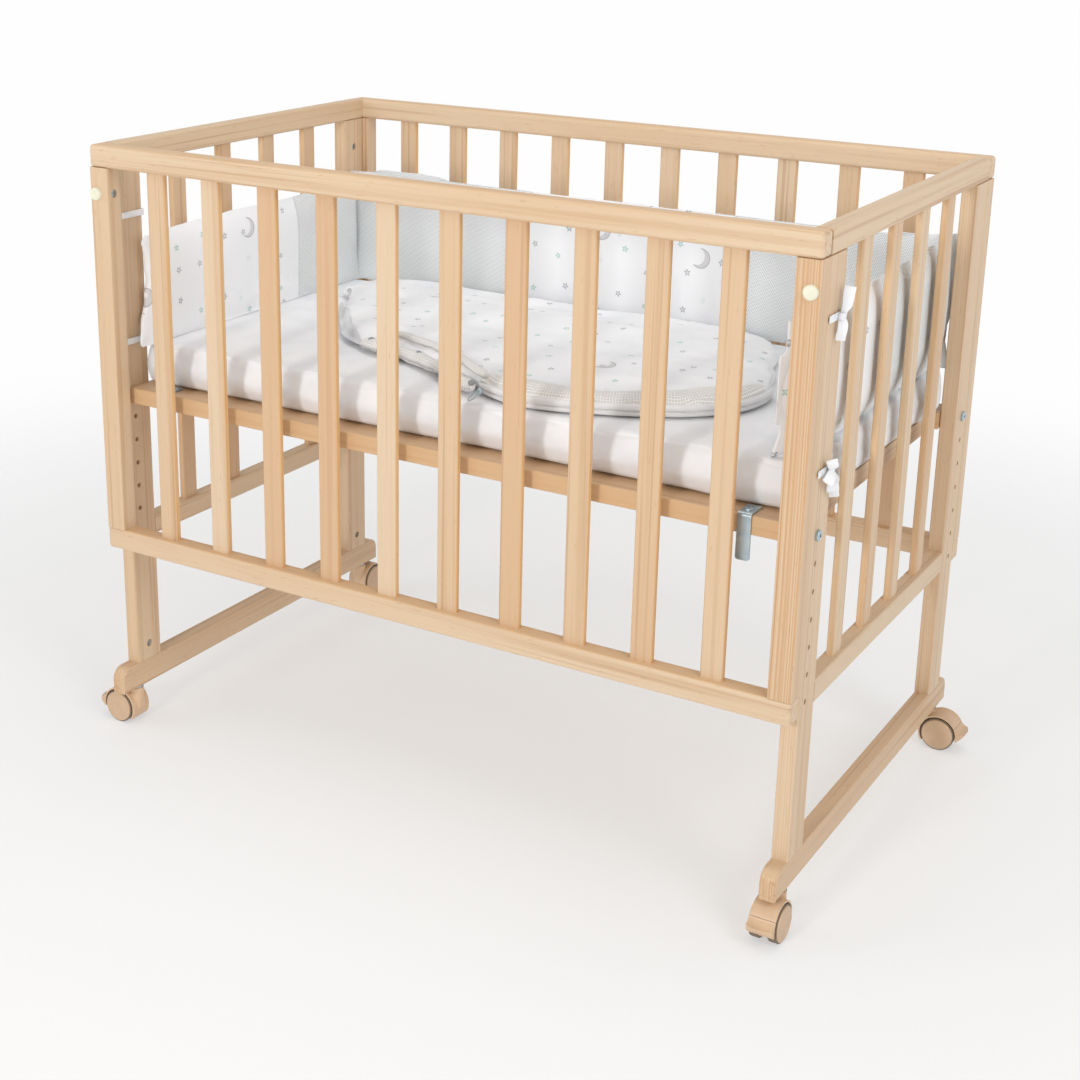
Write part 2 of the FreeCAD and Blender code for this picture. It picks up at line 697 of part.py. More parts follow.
def caster_wheel(side):
    """One wheel: a tread ring, a raised outer disc and a hollow towards its neighbour, turned about the axle."""
    inner = wheel_gap / 2
    outer = inner + wheel_width
    bore_end = outer - disc_step - 1.0
    bore = axle_radius + running_clearance
    edge = 0.8
    hub = bore + 3.5
    rim = wheel_radius - 3.5
    tread_end = outer - disc_step
    hollow = inner + wheel_width * 0.5
    profile = [
        (bore, inner),
        (hub, inner),
        (hub, hollow),
        (rim, hollow),
        (rim, inner + edge),
        (wheel_radius - edge, inner + edge),
        (wheel_radius, inner + 2 * edge),
        (wheel_radius, tread_end - edge),
        (wheel_radius - edge, tread_end),
        (disc_radius, tread_end),
        (disc_radius, outer - edge),
        (disc_radius - edge, outer),
        (0, outer),
        (0, bore_end),
        (bore, bore_end),
    ]
    corners = [wheel_point(0, 0) + point(0, y, radius) for radius, y in profile]
    face = Part.Face(Part.makePolygon(corners + corners[:1]))
    wheel = face.revolve(wheel_point(0, 0), point(0, 1, 0), 360)
    return wheel if side == RIGHT else mirror_y(wheel)


def brake_lever():
    """The shell that closes the hood on the tab's side, its tab, and the tongue that turns on the axle."""
    half_hood = hood_width / 2
    shell = ring_sector(hood_inner, hood_outer, lever_bottom, lever_top, (-half_hood, half_hood))
    tongue_y = (running_clearance, web_width / 2 - running_clearance)
    reach = hood_inner + hood_thickness / 2
    tongue = ring_sector(0, reach, tongue_bottom, tongue_top, tongue_y)
    hub = wheel_cylinder(tongue_hub_radius, tongue_y)
    root_top = wheel_point(hood_outer - 0.3, lever_top, -half_hood)
    root_low = wheel_point(hood_outer - 0.3, lever_bottom, -half_hood)
    root_middle = wheel_point(hood_outer - 0.3, (lever_top + lever_bottom) / 2, -half_hood)
    tip_x = caster_trail + hood_outer + tab_reach
    tip_high = point(tip_x, -half_hood, wheel_radius + tab_tip_rise)
    tip_low = point(tip_x - 1.0, -half_hood, wheel_radius + tab_tip_rise - tab_tip_thickness)
    sag = (root_top + tip_high) * 0.5 + point(-1.6, 0, -1.6)
    outline = [
        Part.Arc(root_top, sag, tip_high).toShape(),
        Part.makeLine(tip_high, tip_low),
        Part.makeLine(tip_low, root_low),
        Part.Arc(root_low, root_middle, root_top).toShape(),
    ]
    tab = Part.Face(Part.Wire(outline)).extrude(point(0, hood_width, 0))
    side_x = caster_trail + hood_outer + tab_side_reach
    corner_low = point(side_x, -half_hood, 0)
    corner_high = point(side_x, half_hood, 0)
    nose = Part.Arc(corner_low, point(tip_x, 0, 0), corner_high).toShape()
    back_low = point(caster_trail, -half_hood, 0)
    back_high = point(caster_trail, half_hood, 0)
    plan = [
        nose,
        Part.makeLine(corner_high, back_high),
        Part.makeLine(back_high, back_low),
        Part.makeLine(back_low, corner_low),
    ]
    trim = Part.Face(Part.Wire(plan)).extrude(point(0, 0, caster_height))
    shape = fuse([shell, tongue, hub, tab.common(trim)])
    return shape.cut(wheel_cylinder(axle_radius + running_clearance, tongue_y))


def caster_stem(side_x, side_y):
    x = side_x * stem_x
    y = side_y * stem_y
    boss_top = caster_height - stem_flange_height - boss_gap
    low = boss_top - stem_bore_depth + boss_gap
    pin = rod(stem_radius, point(x, y, low), point(x, y, caster_height + stem_in_rail))
    flange_z = caster_height - stem_flange_height
    flange = rod(stem_flange_radius, point(x, y, flange_z), point(x, y, caster_height))
    return fuse([pin, flange])


CASTERS = {
    "fl": (LEFT, FRONT, 180.0),
    "fr": (RIGHT, FRONT, -90.0),
    "bl": (LEFT, BACK, 90.0),
    "br": (RIGHT, BACK, 0.0),
}


def make_casters():
    parts = {"caster_stems": [caster_stem(x, y) for x, y, _ in CASTERS.values()]}
    pieces = {
        "housing": caster_housing(),
        "axle": caster_axle(),
        "wheel_a": caster_wheel(LEFT),
        "wheel_b": caster_wheel(RIGHT),
        "brake_lever": brake_lever(),
    }
    for name, (side_x, side_y, heading) in CASTERS.items():
        for piece, shape in pieces.items():
            placed = shape.copy()
            placed.rotate(point(0, 0, 0), point(0, 0, 1), heading)
            placed.translate(point(side_x * stem_x, side_y * stem_y, 0))
            parts["caster_" + name + "_" + piece] = [placed]
    return parts


# ---- Soft goods ----

def soft_outline(half_x, half_y, corner, draw_in, z):
    """A rounded rectangle whose four sides pull in between the corners."""
    inner_x = half_x - corner
    inner_y = half_y - corner
    bend = corner * (1 - math.sqrt(0.5))
    edges = []
    for sx, sy in ((1, 1), (-1, 1), (-1, -1), (1, -1)):
        on_x = point(sx * half_x, sy * inner_y, z)
        on_y = point(sx * inner_x, sy * half_y, z)
        middle = point(sx * (half_x - bend), sy * (half_y - bend), z)
        if sx == sy:
            edges.append(Part.Arc(on_x, middle, on_y).toShape())
            edges.append(Part.Arc(on_y, point(0, sy * (half_y - draw_in), z), point(-on_y.x, on_y.y, z)).toShape())
        else:
            edges.append(Part.Arc(on_y, middle, on_x).toShape())
            edges.append(Part.Arc(on_x, point(sx * (half_x - draw_in), 0, z), point(on_x.x, -on_x.y, z)).toShape())
    return Part.Wire(edges)


def make_mattress():
    """Rings from the bottom to the crown: the inset as a share of the corner, the height as one of the thickness."""
    sections = (
        (0.2, 0.0),
        (0.0, 0.16),
        (0.0, 0.72),
        (0.15, 0.91),
        (0.65, 0.985),
        (1.75, 1.0),
    )
    wires = []
    for inset, height in sections:
        z = base_top_z + mattress_thickness * height
        half_x = mattress_length / 2 - mattress_corner * inset
        half_y = mattress_width / 2 - mattress_corner * inset
        wires.append(soft_outline(half_x, half_y, mattress_corner, mattress_draw_in, z))
    return Part.makeLoft(wires, True, True)


def band_section(x, y, heading, top_share, fullness):
    """The bumper's upright section: two bulging faces that meet in narrow seams at the bottom and the top."""
    angle = math.radians(heading)
    across = point(-math.sin(angle), math.cos(angle), 0)
    top = bumper_low_z + bumper_height * top_share
    seam_low = bumper_low_z + bumper_edge * 0.8
    seam_high = top - bumper_edge * 0.8
    bulge = bumper_thickness / 2 * fullness

    def at(offset, z):
        return point(x, y, z) + across * offset

    middle = (seam_low + seam_high) / 2
    edges = [
        Part.Arc(at(-bumper_edge, seam_low), at(0, bumper_low_z), at(bumper_edge, seam_low)).toShape(),
        Part.Arc(at(bumper_edge, seam_low), at(bulge, middle), at(bumper_edge, seam_high)).toShape(),
        Part.Arc(at(bumper_edge, seam_high), at(0, top), at(-bumper_edge, seam_high)).toShape(),
        Part.Arc(at(-bumper_edge, seam_high), at(-bulge, middle), at(-bumper_edge, seam_low)).toShape(),
    ]
    return Part.Wire(edges)


def padded_band(start, end, stations):
    """A length of bumper between two plan points. Each station has its share of the way, top and fullness."""
    heading = math.degrees(math.atan2(end[1] - start[1], end[0] - start[0]))
    sections = []
    for share, top_share, fullness in stations:
        x = start[0] + (end[0] - start[0]) * share
        y = start[1] + (end[1] - start[1]) * share
        sections.append(band_section(x, y, heading, top_share, fullness))
    return sections


def bumper_length(sections):
    return Part.makeLoft(sections, True, True)


def make_bumper():
    x = bumper_outer_x - bumper_thickness / 2
    y_back = bumper_back_depth - bumper_thickness / 2
    y_end = y_back - bumper_thickness / 2 * bumper_end_fullness - bumper_gap
    y_left = -leg_inner_y - leg_width / 2
    y_fold = -leg_inner_y - leg_width / 10 + bumper_fold_run
    seam = bumper_end_fullness
    lap = bumper_thickness / (2 * bumper_outer_x)
    left = padded_band((-x, y_left), (-x, y_end), (
        (0.0, 0.86, seam), (0.04, 0.91, 0.9), (0.2, 0.95, 1.0), (0.43, 0.96, 1.0),
        (0.68, 0.95, 0.8), (0.94, 0.98, 0.95), (1.0, 0.97, seam),
    ))
    back = padded_band((-bumper_outer_x, y_back), (bumper_outer_x, y_back), (
        (0.0, 0.97, seam), (lap, 0.99, seam), (0.065, 1.03, 1.0), (0.135, 1.05, 0.85),
        (0.195, 1.01, 1.0), (0.4, 1.0, 1.0), (0.575, 1.0, 0.8), (0.715, 1.0, 1.0),
        (0.935, 1.02, 1.0), (1 - lap, 1.03, seam), (1.0, 1.03, seam),
    ))
    right = padded_band((x, y_end), (x, y_fold), (
        (0.0, 1.05, seam), (0.22, 1.06, 1.0), (0.6, 1.05, 0.85), (0.82, 1.04, 1.0), (1.0, 1.01, 1.0),
    ))
    for inward, along, heading, top_share, fullness in (
        (0.11, 0.43, -76, 0.98, 0.9), (0.49, 0.77, -58, 0.95, 0.8), (1.0, 1.0, -42, 0.92, seam),
    ):
        plan = (x - bumper_fold * inward, y_fold - bumper_fold_run * along)
        right.append(band_section(*plan, heading, top_share, fullness))
    return {
        "bumper_left": [bumper_length(left)],
        "bumper_back": [bumper_length(back)],
        "bumper_right": [bumper_length(right)],
    }


# Plan of the sleeping bag as it lies, as shares of the mattress's half length and half width, anticlockwise from its
# left tip; every second point ends an arc.
BAG_PLAN = (
    (-0.582, -0.333), (-0.422, -0.524), (-0.280, -0.569), (-0.116, -0.716), (0.087, -0.911), (0.213, -0.987),
    (0.333, -0.960), (0.451, -0.880), (0.596, -0.711), (0.707, -0.524), (0.749, -0.213), (0.716, 0.133),
    (0.658, 0.400), (0.600, 0.711), (0.507, 0.916), (0.267, 0.960), (0.000, 0.951), (-0.356, 0.969),
    (-0.733, 0.942), (-0.871, 0.756), (-0.827, 0.400), (-0.733, 0.089),
)


def make_sleeping_bag():
    plan = [(x * mattress_length / 2, y * mattress_width / 2) for x, y in BAG_PLAN]
    centre_x = sum(x for x, _ in plan) / len(plan)
    centre_y = sum(y for _, y in plan) / len(plan)
    wires = []
    low = mattress_top_z + bumper_gap
    for scale, share in ((0.96, 0.0), (1.0, 0.3), (0.97, 0.65), (0.86, 0.92), (0.6, 1.0)):
        z = low + bag_thickness * share
        ring = [point(centre_x + (x - centre_x) * scale, centre_y + (y - centre_y) * scale, z) for x, y in plan]
        ring.append(ring[0])
        arcs = [Part.Arc(ring[i], ring[i + 1], ring[i + 2]).toShape() for i in range(0, len(ring) - 2, 2)]
        wires.append(Part.Wire(arcs))
    return Part.makeLoft(wires, True, True)


def ribbon_strip(points, width):
    """A flat ribbon on the leg's outer side: a centre line of Y, Z points given its width and thickness."""
    x = half_length + ribbon_gap
    pieces = []
    for (y0, z0), (y1, z1) in zip(points, points[1:]):
        along = point(0, y1 - y0, z1 - z0)
        along.normalize()
        side = point(0, -along.z, along.y) * (width / 2)
        start = point(x, y0, z0)
        end = point(x, y1, z1)
        corners = [start - side, end - side, end + side, start + side]
        pieces.append(Part.Face(Part.makePolygon(corners + corners[:1])).extrude(point(ribbon_thickness, 0, 0)))
    return pieces


def make_bow(z, loops, tails):
    """A ribbon that runs round the inner and outer side of a front leg and is tied on the outer side."""
    near = leg_inner_x - ribbon_gap - ribbon_thickness
    far = half_length + ribbon_gap
    y_joint = -half_depth + ribbon_gap
    y_turn = -leg_inner_y + ribbon_gap
    height = (z - ribbon_width / 2, z + ribbon_width / 2)
    knot_y = -leg_axis_y
    pieces = [
        block((near, leg_inner_x - ribbon_gap), (y_joint, y_turn + ribbon_thickness), height),
        block((near, far + ribbon_thickness), (y_turn, y_turn + ribbon_thickness), height),
        block((far, far + ribbon_thickness), (y_joint, y_turn + ribbon_thickness), height),
    ]
    knot = Part.makeSphere(ribbon_width * 0.5, point(0, 0, 0))
    stretch = FreeCAD.Matrix()
    stretch.scale(0.7, 1.0, 0.9)
    knot = knot.transformGeometry(stretch)
    knot.translate(point(far + ribbon_width * 0.35, knot_y, z))
    pieces.append(knot)
    for line in loops + tails:
        pieces += ribbon_strip([(knot_y + y, z + dz) for y, dz in line], ribbon_width * 0.8)
    return fuse(pieces)


def make_ties():
    upper_z = leg_top_z - bow_upper_drop
    lower_z = mattress_top_z + bow_lower_rise
    upper = make_bow(upper_z, [[(0, 0), (9, 16)]], [[(0, 0), (-3, -20)], [(0, 0), (-12, -2)]])
    lower = make_bow(lower_z, [[(0, 0), (-9, 12)], [(0, 0), (8, 8)]], [[(0, 0), (-13, -7)], [(0, 0), (10, -30)]])
    return [upper, lower, mirror_x(upper), mirror_x(lower)]


# ---- Writing the pieces ----

def make_all():
    parts = {}
    parts.update(make_end_frames())
    parts.update(make_back_panel())
    parts.update(make_front_panel())
    parts.update(make_frame_fasteners())
    parts.update(make_mattress_base())
    parts.update(make_casters())
    parts.update(make_bumper())
    parts["mattress"] = [make_mattress()]
    parts["sleeping_bag"] = [make_sleeping_bag()]
    parts["bumper_ties"] = make_ties()
    return parts


os.makedirs("parts", exist_ok=True)
for node, solids in make_all().items():
    shape = solids[0] if len(solids) == 1 else Part.makeCompound(solids)
    shape.exportStep("parts/" + node + ".step")
    print(node, len(shape.Solids), "solid(s), volume", round(shape.Volume), "valid", shape.isValid())
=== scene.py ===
"""Studio, camera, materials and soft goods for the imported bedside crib."""

import math

import bmesh
import bpy
import numpy as np
from mathutils import Matrix, Vector, noise
from mathutils.bvhtree import BVHTree


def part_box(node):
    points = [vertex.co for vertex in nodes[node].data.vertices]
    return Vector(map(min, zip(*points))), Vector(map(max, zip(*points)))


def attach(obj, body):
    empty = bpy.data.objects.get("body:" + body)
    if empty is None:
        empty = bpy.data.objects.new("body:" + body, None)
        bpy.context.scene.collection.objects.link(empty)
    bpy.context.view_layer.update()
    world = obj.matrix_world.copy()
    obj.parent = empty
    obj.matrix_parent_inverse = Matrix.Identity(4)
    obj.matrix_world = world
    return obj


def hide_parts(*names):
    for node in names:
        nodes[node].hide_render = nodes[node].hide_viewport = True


X, Y, Z = 0, 1, 2

# Camera: on nearly the line of the photograph's camera, but nearer, and turned to the crib to need little shift
CAMERA_PLACE = (1.0773, -1.9272, 1.1352)
CAMERA_YAW, CAMERA_PITCH, CAMERA_ROLL = 31.2687, 17.4047, 0.7459  # degrees: left, down, clockwise
CAMERA_LENS = 59.394  # mm on a 36 mm sensor
CAMERA_SHIFT = (0.06, -0.11)

# Mesh sizes of the soft goods before smoothing, in metres
PANEL_CELL = 0.0052  # bumpers and sleeping bag
MATTRESS_CELL = 0.0062

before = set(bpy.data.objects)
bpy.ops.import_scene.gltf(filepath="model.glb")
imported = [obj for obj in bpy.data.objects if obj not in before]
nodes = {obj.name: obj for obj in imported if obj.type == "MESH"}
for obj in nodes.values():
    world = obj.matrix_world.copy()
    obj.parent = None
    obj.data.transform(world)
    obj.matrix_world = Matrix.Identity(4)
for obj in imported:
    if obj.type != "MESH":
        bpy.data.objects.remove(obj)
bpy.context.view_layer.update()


def low(node):
    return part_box(node)[0]


def high(node):
    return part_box(node)[1]


# ---- Materials ----

class Shader:
    """A material's node tree, with short calls for the nodes that are used here."""

    def __init__(self, name, roughness, specular=0.5):
        self.material = bpy.data.materials.new(name)
        self.material.use_nodes = True
        self.tree = self.material.node_tree
        self.bsdf = self.tree.nodes["Principled BSDF"]
        self.bsdf.inputs["Roughness"].default_value = roughness
        self.bsdf.inputs["Specular IOR Level"].default_value = specular
        coordinates = self.tree.nodes.new("ShaderNodeTexCoord")
        self.place = coordinates.outputs["Object"]
        self.normal = coordinates.outputs["Normal"]

    def add(self, kind, inputs=None, **settings):
        node = self.tree.nodes.new("ShaderNode" + kind)
        for key, value in settings.items():
            setattr(node, key, value)
        for key, value in (inputs or {}).items():
            self.put(node.inputs[key], value)
        return node

    def put(self, socket, value):
        if isinstance(value, bpy.types.NodeSocket):
            self.tree.links.new(value, socket)
        else:
            socket.default_value = value

    def surface(self, **inputs):
        for key, value in inputs.items():
            self.put(self.bsdf.inputs[key.replace("_", " ")], value)

    def scaled(self, scale, offset=(0, 0, 0), vector=None):
        mapping = self.add("Mapping", {"Vector": vector or self.place, "Location": offset, "Scale": scale})
        return mapping.outputs[0]

    def noise(self, vector, scale=1.0, detail=2.0, roughness=0.5, distortion=0.0):
        inputs = {"Vector": vector, "Scale": scale, "Detail": detail, "Roughness": roughness,
                  "Distortion": distortion}
        return self.add("TexNoise", inputs).outputs["Fac"]

    def math(self, operation, a, b=0.0, c=0.0):
        return self.add("Math", {0: a, 1: b, 2: c}, operation=operation).outputs[0]

    def vector_math(self, operation, a, b=(0, 0, 0)):
        return self.add("VectorMath", {0: a, 1: b}, operation=operation)

    def split(self, vector):
        return self.add("SeparateXYZ", {0: vector}).outputs

    def join(self, x, y, z=0.0):
        return self.add("CombineXYZ", {0: x, 1: y, 2: z}).outputs[0]

    def step(self, value, start, end):
        """0 before start and 1 after end, with a smooth change between them."""
        inputs = {"Value": value, "From Min": start, "From Max": end}
        return self.add("MapRange", inputs, interpolation_type="SMOOTHSTEP").outputs[0]

    def ramp(self, factor, *stops):
        node = self.add("ValToRGB", {0: factor})
        elements = node.color_ramp.elements
        while len(elements) < len(stops):
            elements.new(0.5)
        for element, (position, colour) in zip(elements, stops):
            element.position = position
            element.color = (*colour, 1.0)
        return node.outputs[0]

    def mix(self, factor, a, b, blend="MIX"):
        inputs = {0: factor, 6: a, 7: b}
        return self.add("Mix", inputs, data_type="RGBA", blend_type=blend).outputs[2]

    def bump(self, height, distance, normal=None):
        node = self.add("Bump", {"Height": height, "Distance": distance})
        if normal is not None:
            self.put(node.inputs["Normal"], normal)
        return node.outputs[0]


def rgba(colour):
    return (*colour, 1.0)


def srgb(red, green, blue):
    """An sRGB colour, 0 to 255, as linear values."""
    values = [c / 255 for c in (red, green, blue)]
    return tuple(c / 12.92 if c <= 0.04045 else ((c + 0.055) / 1.055) ** 2.4 for c in values)


def axis_scale(along, along_scale, across_scale):
    scale = [across_scale] * 3
    scale[along] = along_scale
    return tuple(scale)


CREAM_WOOD = srgb(216, 191, 160)
TAN_WOOD = srgb(208, 173, 136)
GRAIN_WOOD = srgb(184, 140, 98)
DARK_GRAIN = srgb(170, 122, 80)
FLECK_WOOD = srgb(178, 130, 90)
# Colours of faces across an edge axis: partly their own edge grain, partly painted bounce light
PALE_EDGE_AND_BOUNCE = srgb(228, 184, 126)
EDGE_WOOD_AND_BOUNCE = srgb(222, 174, 116)
DARK_EDGE_AND_BOUNCE = srgb(198, 142, 84)
DARK_LAYER = srgb(190, 136, 84)

# Marks in the wood, per metre along the grain and across it
CLOUD_MARKS = (1.3, 9.0)
STREAK_MARKS = (0.9, 75.0)
DARK_MARKS = (1.7, 210.0)
FIBRE_MARKS = (16.0, 620.0)
FLECK_MARKS = (60.0, 420.0)
EDGE_MARKS = (1.5, 330.0)
WANDER_MARKS = (2.0, 12.0)

FRONT_SLAT_PITCH = 0.0851
END_SLAT_PITCH = 0.095
LAYER_PERIOD = 0.0029  # thickness of one light and one dark layer together
LAYER_WANDER = 0.0040  # how far the layers stray from straight
UNEVEN_MARKS, BAND_MARKS = 90.0, 170.0  # per metre across the layers: their spacing, and broad bands over them
BOARD_SIDE_SHIFT = 31.7  # sets the tones of the boards on one side apart from those on the other
FACING = (0.6, 0.9)  # share of a face's normal on an axis where it starts to face that way, and where it fully does


def wood(name, grain, seed, boards=None, edge_and_bounce_axis=None, layers=None, tone=0.5, edge_and_bounce_strength=0.75):
    """Clear-lacquered wood with its grain along one axis.

    boards = (axis, pitch, other axis) gives each board its own tone, faces across the edge axis are warmer, partly
    from the edge grain and partly from painted bounce light, and layers = (axis, facing axis, strength) shows the
    glued layers on the faces that look along an axis.
    """
    s = Shader(name, 0.5, 0.4)
    offset = (seed, seed * 1.7, seed * 0.6)
    place = s.split(s.place)
    facing = s.split(s.normal)

    def marks(scale, **settings):
        return s.noise(s.scaled(axis_scale(grain, *scale), offset), **settings)

    def stained(colour, mark, start, end, strength, stain):
        return s.mix(s.math("MULTIPLY", s.step(mark, start, end), strength), colour, rgba(stain))

    own_tone = tone
    if boards:
        number = s.math("FLOOR", s.math("DIVIDE", place[boards[0]], boards[1]))
        side = s.math("MULTIPLY", s.math("GREATER_THAN", place[boards[2]], 0.0), BOARD_SIDE_SHIFT)
        board = s.math("ADD", s.math("ADD", number, side), seed)
        own_tone = s.add("TexWhiteNoise", {"W": board}, noise_dimensions="1D").outputs["Value"]
    cloud = marks(CLOUD_MARKS)
    blend = s.math("MULTIPLY_ADD", s.math("SUBTRACT", cloud, 0.5), 1.1, own_tone)
    colour = s.ramp(blend, (0.15, CREAM_WOOD), (0.85, TAN_WOOD))
    streak = marks(STREAK_MARKS, roughness=0.6, distortion=0.15)
    dark = marks(DARK_MARKS, detail=1.0, distortion=0.1)
    fibre = marks(FIBRE_MARKS, roughness=0.6)
    fleck = marks(FLECK_MARKS, detail=1.0)
    colour = stained(colour, streak, 0.5, 0.72, 0.34, GRAIN_WOOD)
    colour = stained(colour, dark, 0.58, 0.72, 0.4, DARK_GRAIN)
    colour = stained(colour, fibre, 0.48, 0.75, 0.14, GRAIN_WOOD)
    colour = stained(colour, fleck, 0.66, 0.76, 0.3, FLECK_WOOD)
    # Faces across the axis turn warmer by their normal: partly edge grain, partly painted bounce light
    if edge_and_bounce_axis is not None:
        edge = s.step(s.math("ABSOLUTE", facing[edge_and_bounce_axis]), *FACING)
        edge_grain_and_bounce = s.ramp(marks(EDGE_MARKS), (0.35, PALE_EDGE_AND_BOUNCE), (0.6, EDGE_WOOD_AND_BOUNCE), (0.72, DARK_EDGE_AND_BOUNCE))
        colour = s.mix(s.math("MULTIPLY", edge, edge_and_bounce_strength), colour, edge_grain_and_bounce)
    if layers:
        wave = layer_wave(s, grain, place[layers[0]], fibre)
        mask = s.step(s.math("ABSOLUTE", facing[layers[1]]), *FACING)
        strength = s.math("MULTIPLY", s.step(wave, 0.1, 0.95), layers[2])
        colour = s.mix(s.math("MULTIPLY", mask, strength), colour, rgba(DARK_LAYER))
    height = s.math("MULTIPLY_ADD", s.step(dark, 0.66, 0.74), -0.8, fibre)
    s.surface(Base_Color=colour, Normal=s.bump(height, 0.00012))
    s.surface(Roughness=s.math("MULTIPLY_ADD", fibre, 0.16, 0.40), Coat_Weight=0.1, Coat_Roughness=0.3)
    return s.material


def layer_wave(s, grain, position, fibre):
    """A wave across glued layers, uneven in spacing and strength and frayed by the fibres."""
    wander = s.noise(s.scaled(axis_scale(grain, *WANDER_MARKS)), detail=1.0)
    across = s.math("MULTIPLY_ADD", wander, LAYER_WANDER, position)

    def along_layers(frequency, **inputs):
        inputs = {"W": s.math("MULTIPLY", across, frequency), **inputs}
        return s.add("TexNoise", inputs, noise_dimensions="1D").outputs["Fac"]

    steady = s.math("MULTIPLY", across, 2 * math.pi / LAYER_PERIOD)
    phase = s.math("MULTIPLY_ADD", along_layers(UNEVEN_MARKS, Detail=1.0), 11.0, steady)
    wave = s.math("MULTIPLY_ADD", fibre, 0.5, s.math("SINE", phase))
    return s.math("MULTIPLY_ADD", s.math("SUBTRACT", along_layers(BAND_MARKS), 0.5), 3.6, wave)


def zinc():
    s = Shader("zinc_plated_steel", 0.34)
    cloud = s.noise(s.place, 90.0, 3.0)
    colour = s.ramp(cloud, (0.3, srgb(168, 190, 202)), (0.7, srgb(196, 208, 212)))
    fine = s.noise(s.place, 1800.0, 2.0)
    s.surface(Base_Color=colour, Metallic=0.85, Roughness=s.math("MULTIPLY_ADD", cloud, 0.22, 0.26))
    s.surface(Normal=s.bump(fine, 0.00003))
    return s.material


def moulded_plastic(name, colour, roughness=0.42):
    s = Shader(name, roughness)
    mottle = s.noise(s.place, 60.0, 3.0)
    grain = s.noise(s.place, 2600.0, 2.0)
    shade = tuple(c * 0.9 for c in colour)
    s.surface(Base_Color=s.ramp(mottle, (0.3, shade), (0.7, colour)), Normal=s.bump(grain, 0.00003))
    s.surface(Roughness=s.math("MULTIPLY_ADD", mottle, 0.14, roughness - 0.07))
    return s.material


DISC_RADIUS = 0.0206  # of a wheel's beige disc; beyond it comes the tread


def wheel_plastic(name, centre, axis):
    """A beige wheel whose tread, beyond the disc, is a darker rubber."""
    s = Shader(name, 0.45)
    offset = s.vector_math("SUBTRACT", s.place, centre).outputs[0]
    across = s.vector_math("MULTIPLY", offset, [0.0 if a == axis else 1.0 for a in (X, Y, Z)]).outputs[0]
    radius = s.vector_math("LENGTH", across).outputs["Value"]
    tread = s.step(radius, DISC_RADIUS + 0.0001, DISC_RADIUS + 0.0004)
    mottle = s.noise(s.place, 55.0, 3.0)
    disc = s.ramp(mottle, (0.3, srgb(198, 166, 134)), (0.7, srgb(209, 178, 146)))
    s.surface(Base_Color=s.mix(tread, disc, rgba(srgb(120, 104, 88))))
    s.surface(Roughness=s.math("MULTIPLY_ADD", tread, 0.25, 0.42), Normal=s.bump(s.noise(s.place, 2400.0), 0.00003))
    return s.material


# The print: sizes in metres
STAR_CELL, MOON_CELL = 0.046, 0.19  # one star or moon to a cell
STAR_RADIUS, STAR_SPREAD = 0.0044, 0.0014  # a star's smallest radius, and how much larger it may be
STAR_SIDE = (0.384, 0.923)  # direction of a five-pointed star's side, seen from its middle
STAR_EDGE, STAR_RIM = 0.0002, (-0.0009, -0.0005)
MOON_RADIUS, BITE_RADIUS, BITE_PLACE = 0.0142, 0.0118, (0.0062, -0.0026)
MOON_LINE = 0.0130  # radius of the darker line in a moon's outer edge
PRINT_GREY = srgb(150, 152, 160)
PRINT_SLATE = srgb(124, 126, 136)
PRINT_MINT = srgb(134, 190, 176)
MOON_GREY = srgb(176, 174, 176)


def print_cells(s, flat, size, seed):
    """Places relative to the middle of scattered cells, and three random values for each cell."""
    shifted = s.scaled((1, 1, 1), (seed, seed * 0.37, 0), flat)
    inputs = {"Vector": shifted, "Scale": 1 / size, "Randomness": 0.7}
    cell = s.add("TexVoronoi", inputs, voronoi_dimensions="2D")
    local = s.vector_math("SUBTRACT", shifted, cell.outputs["Position"])
    return s.split(local.outputs[0]), s.split(cell.outputs["Color"])


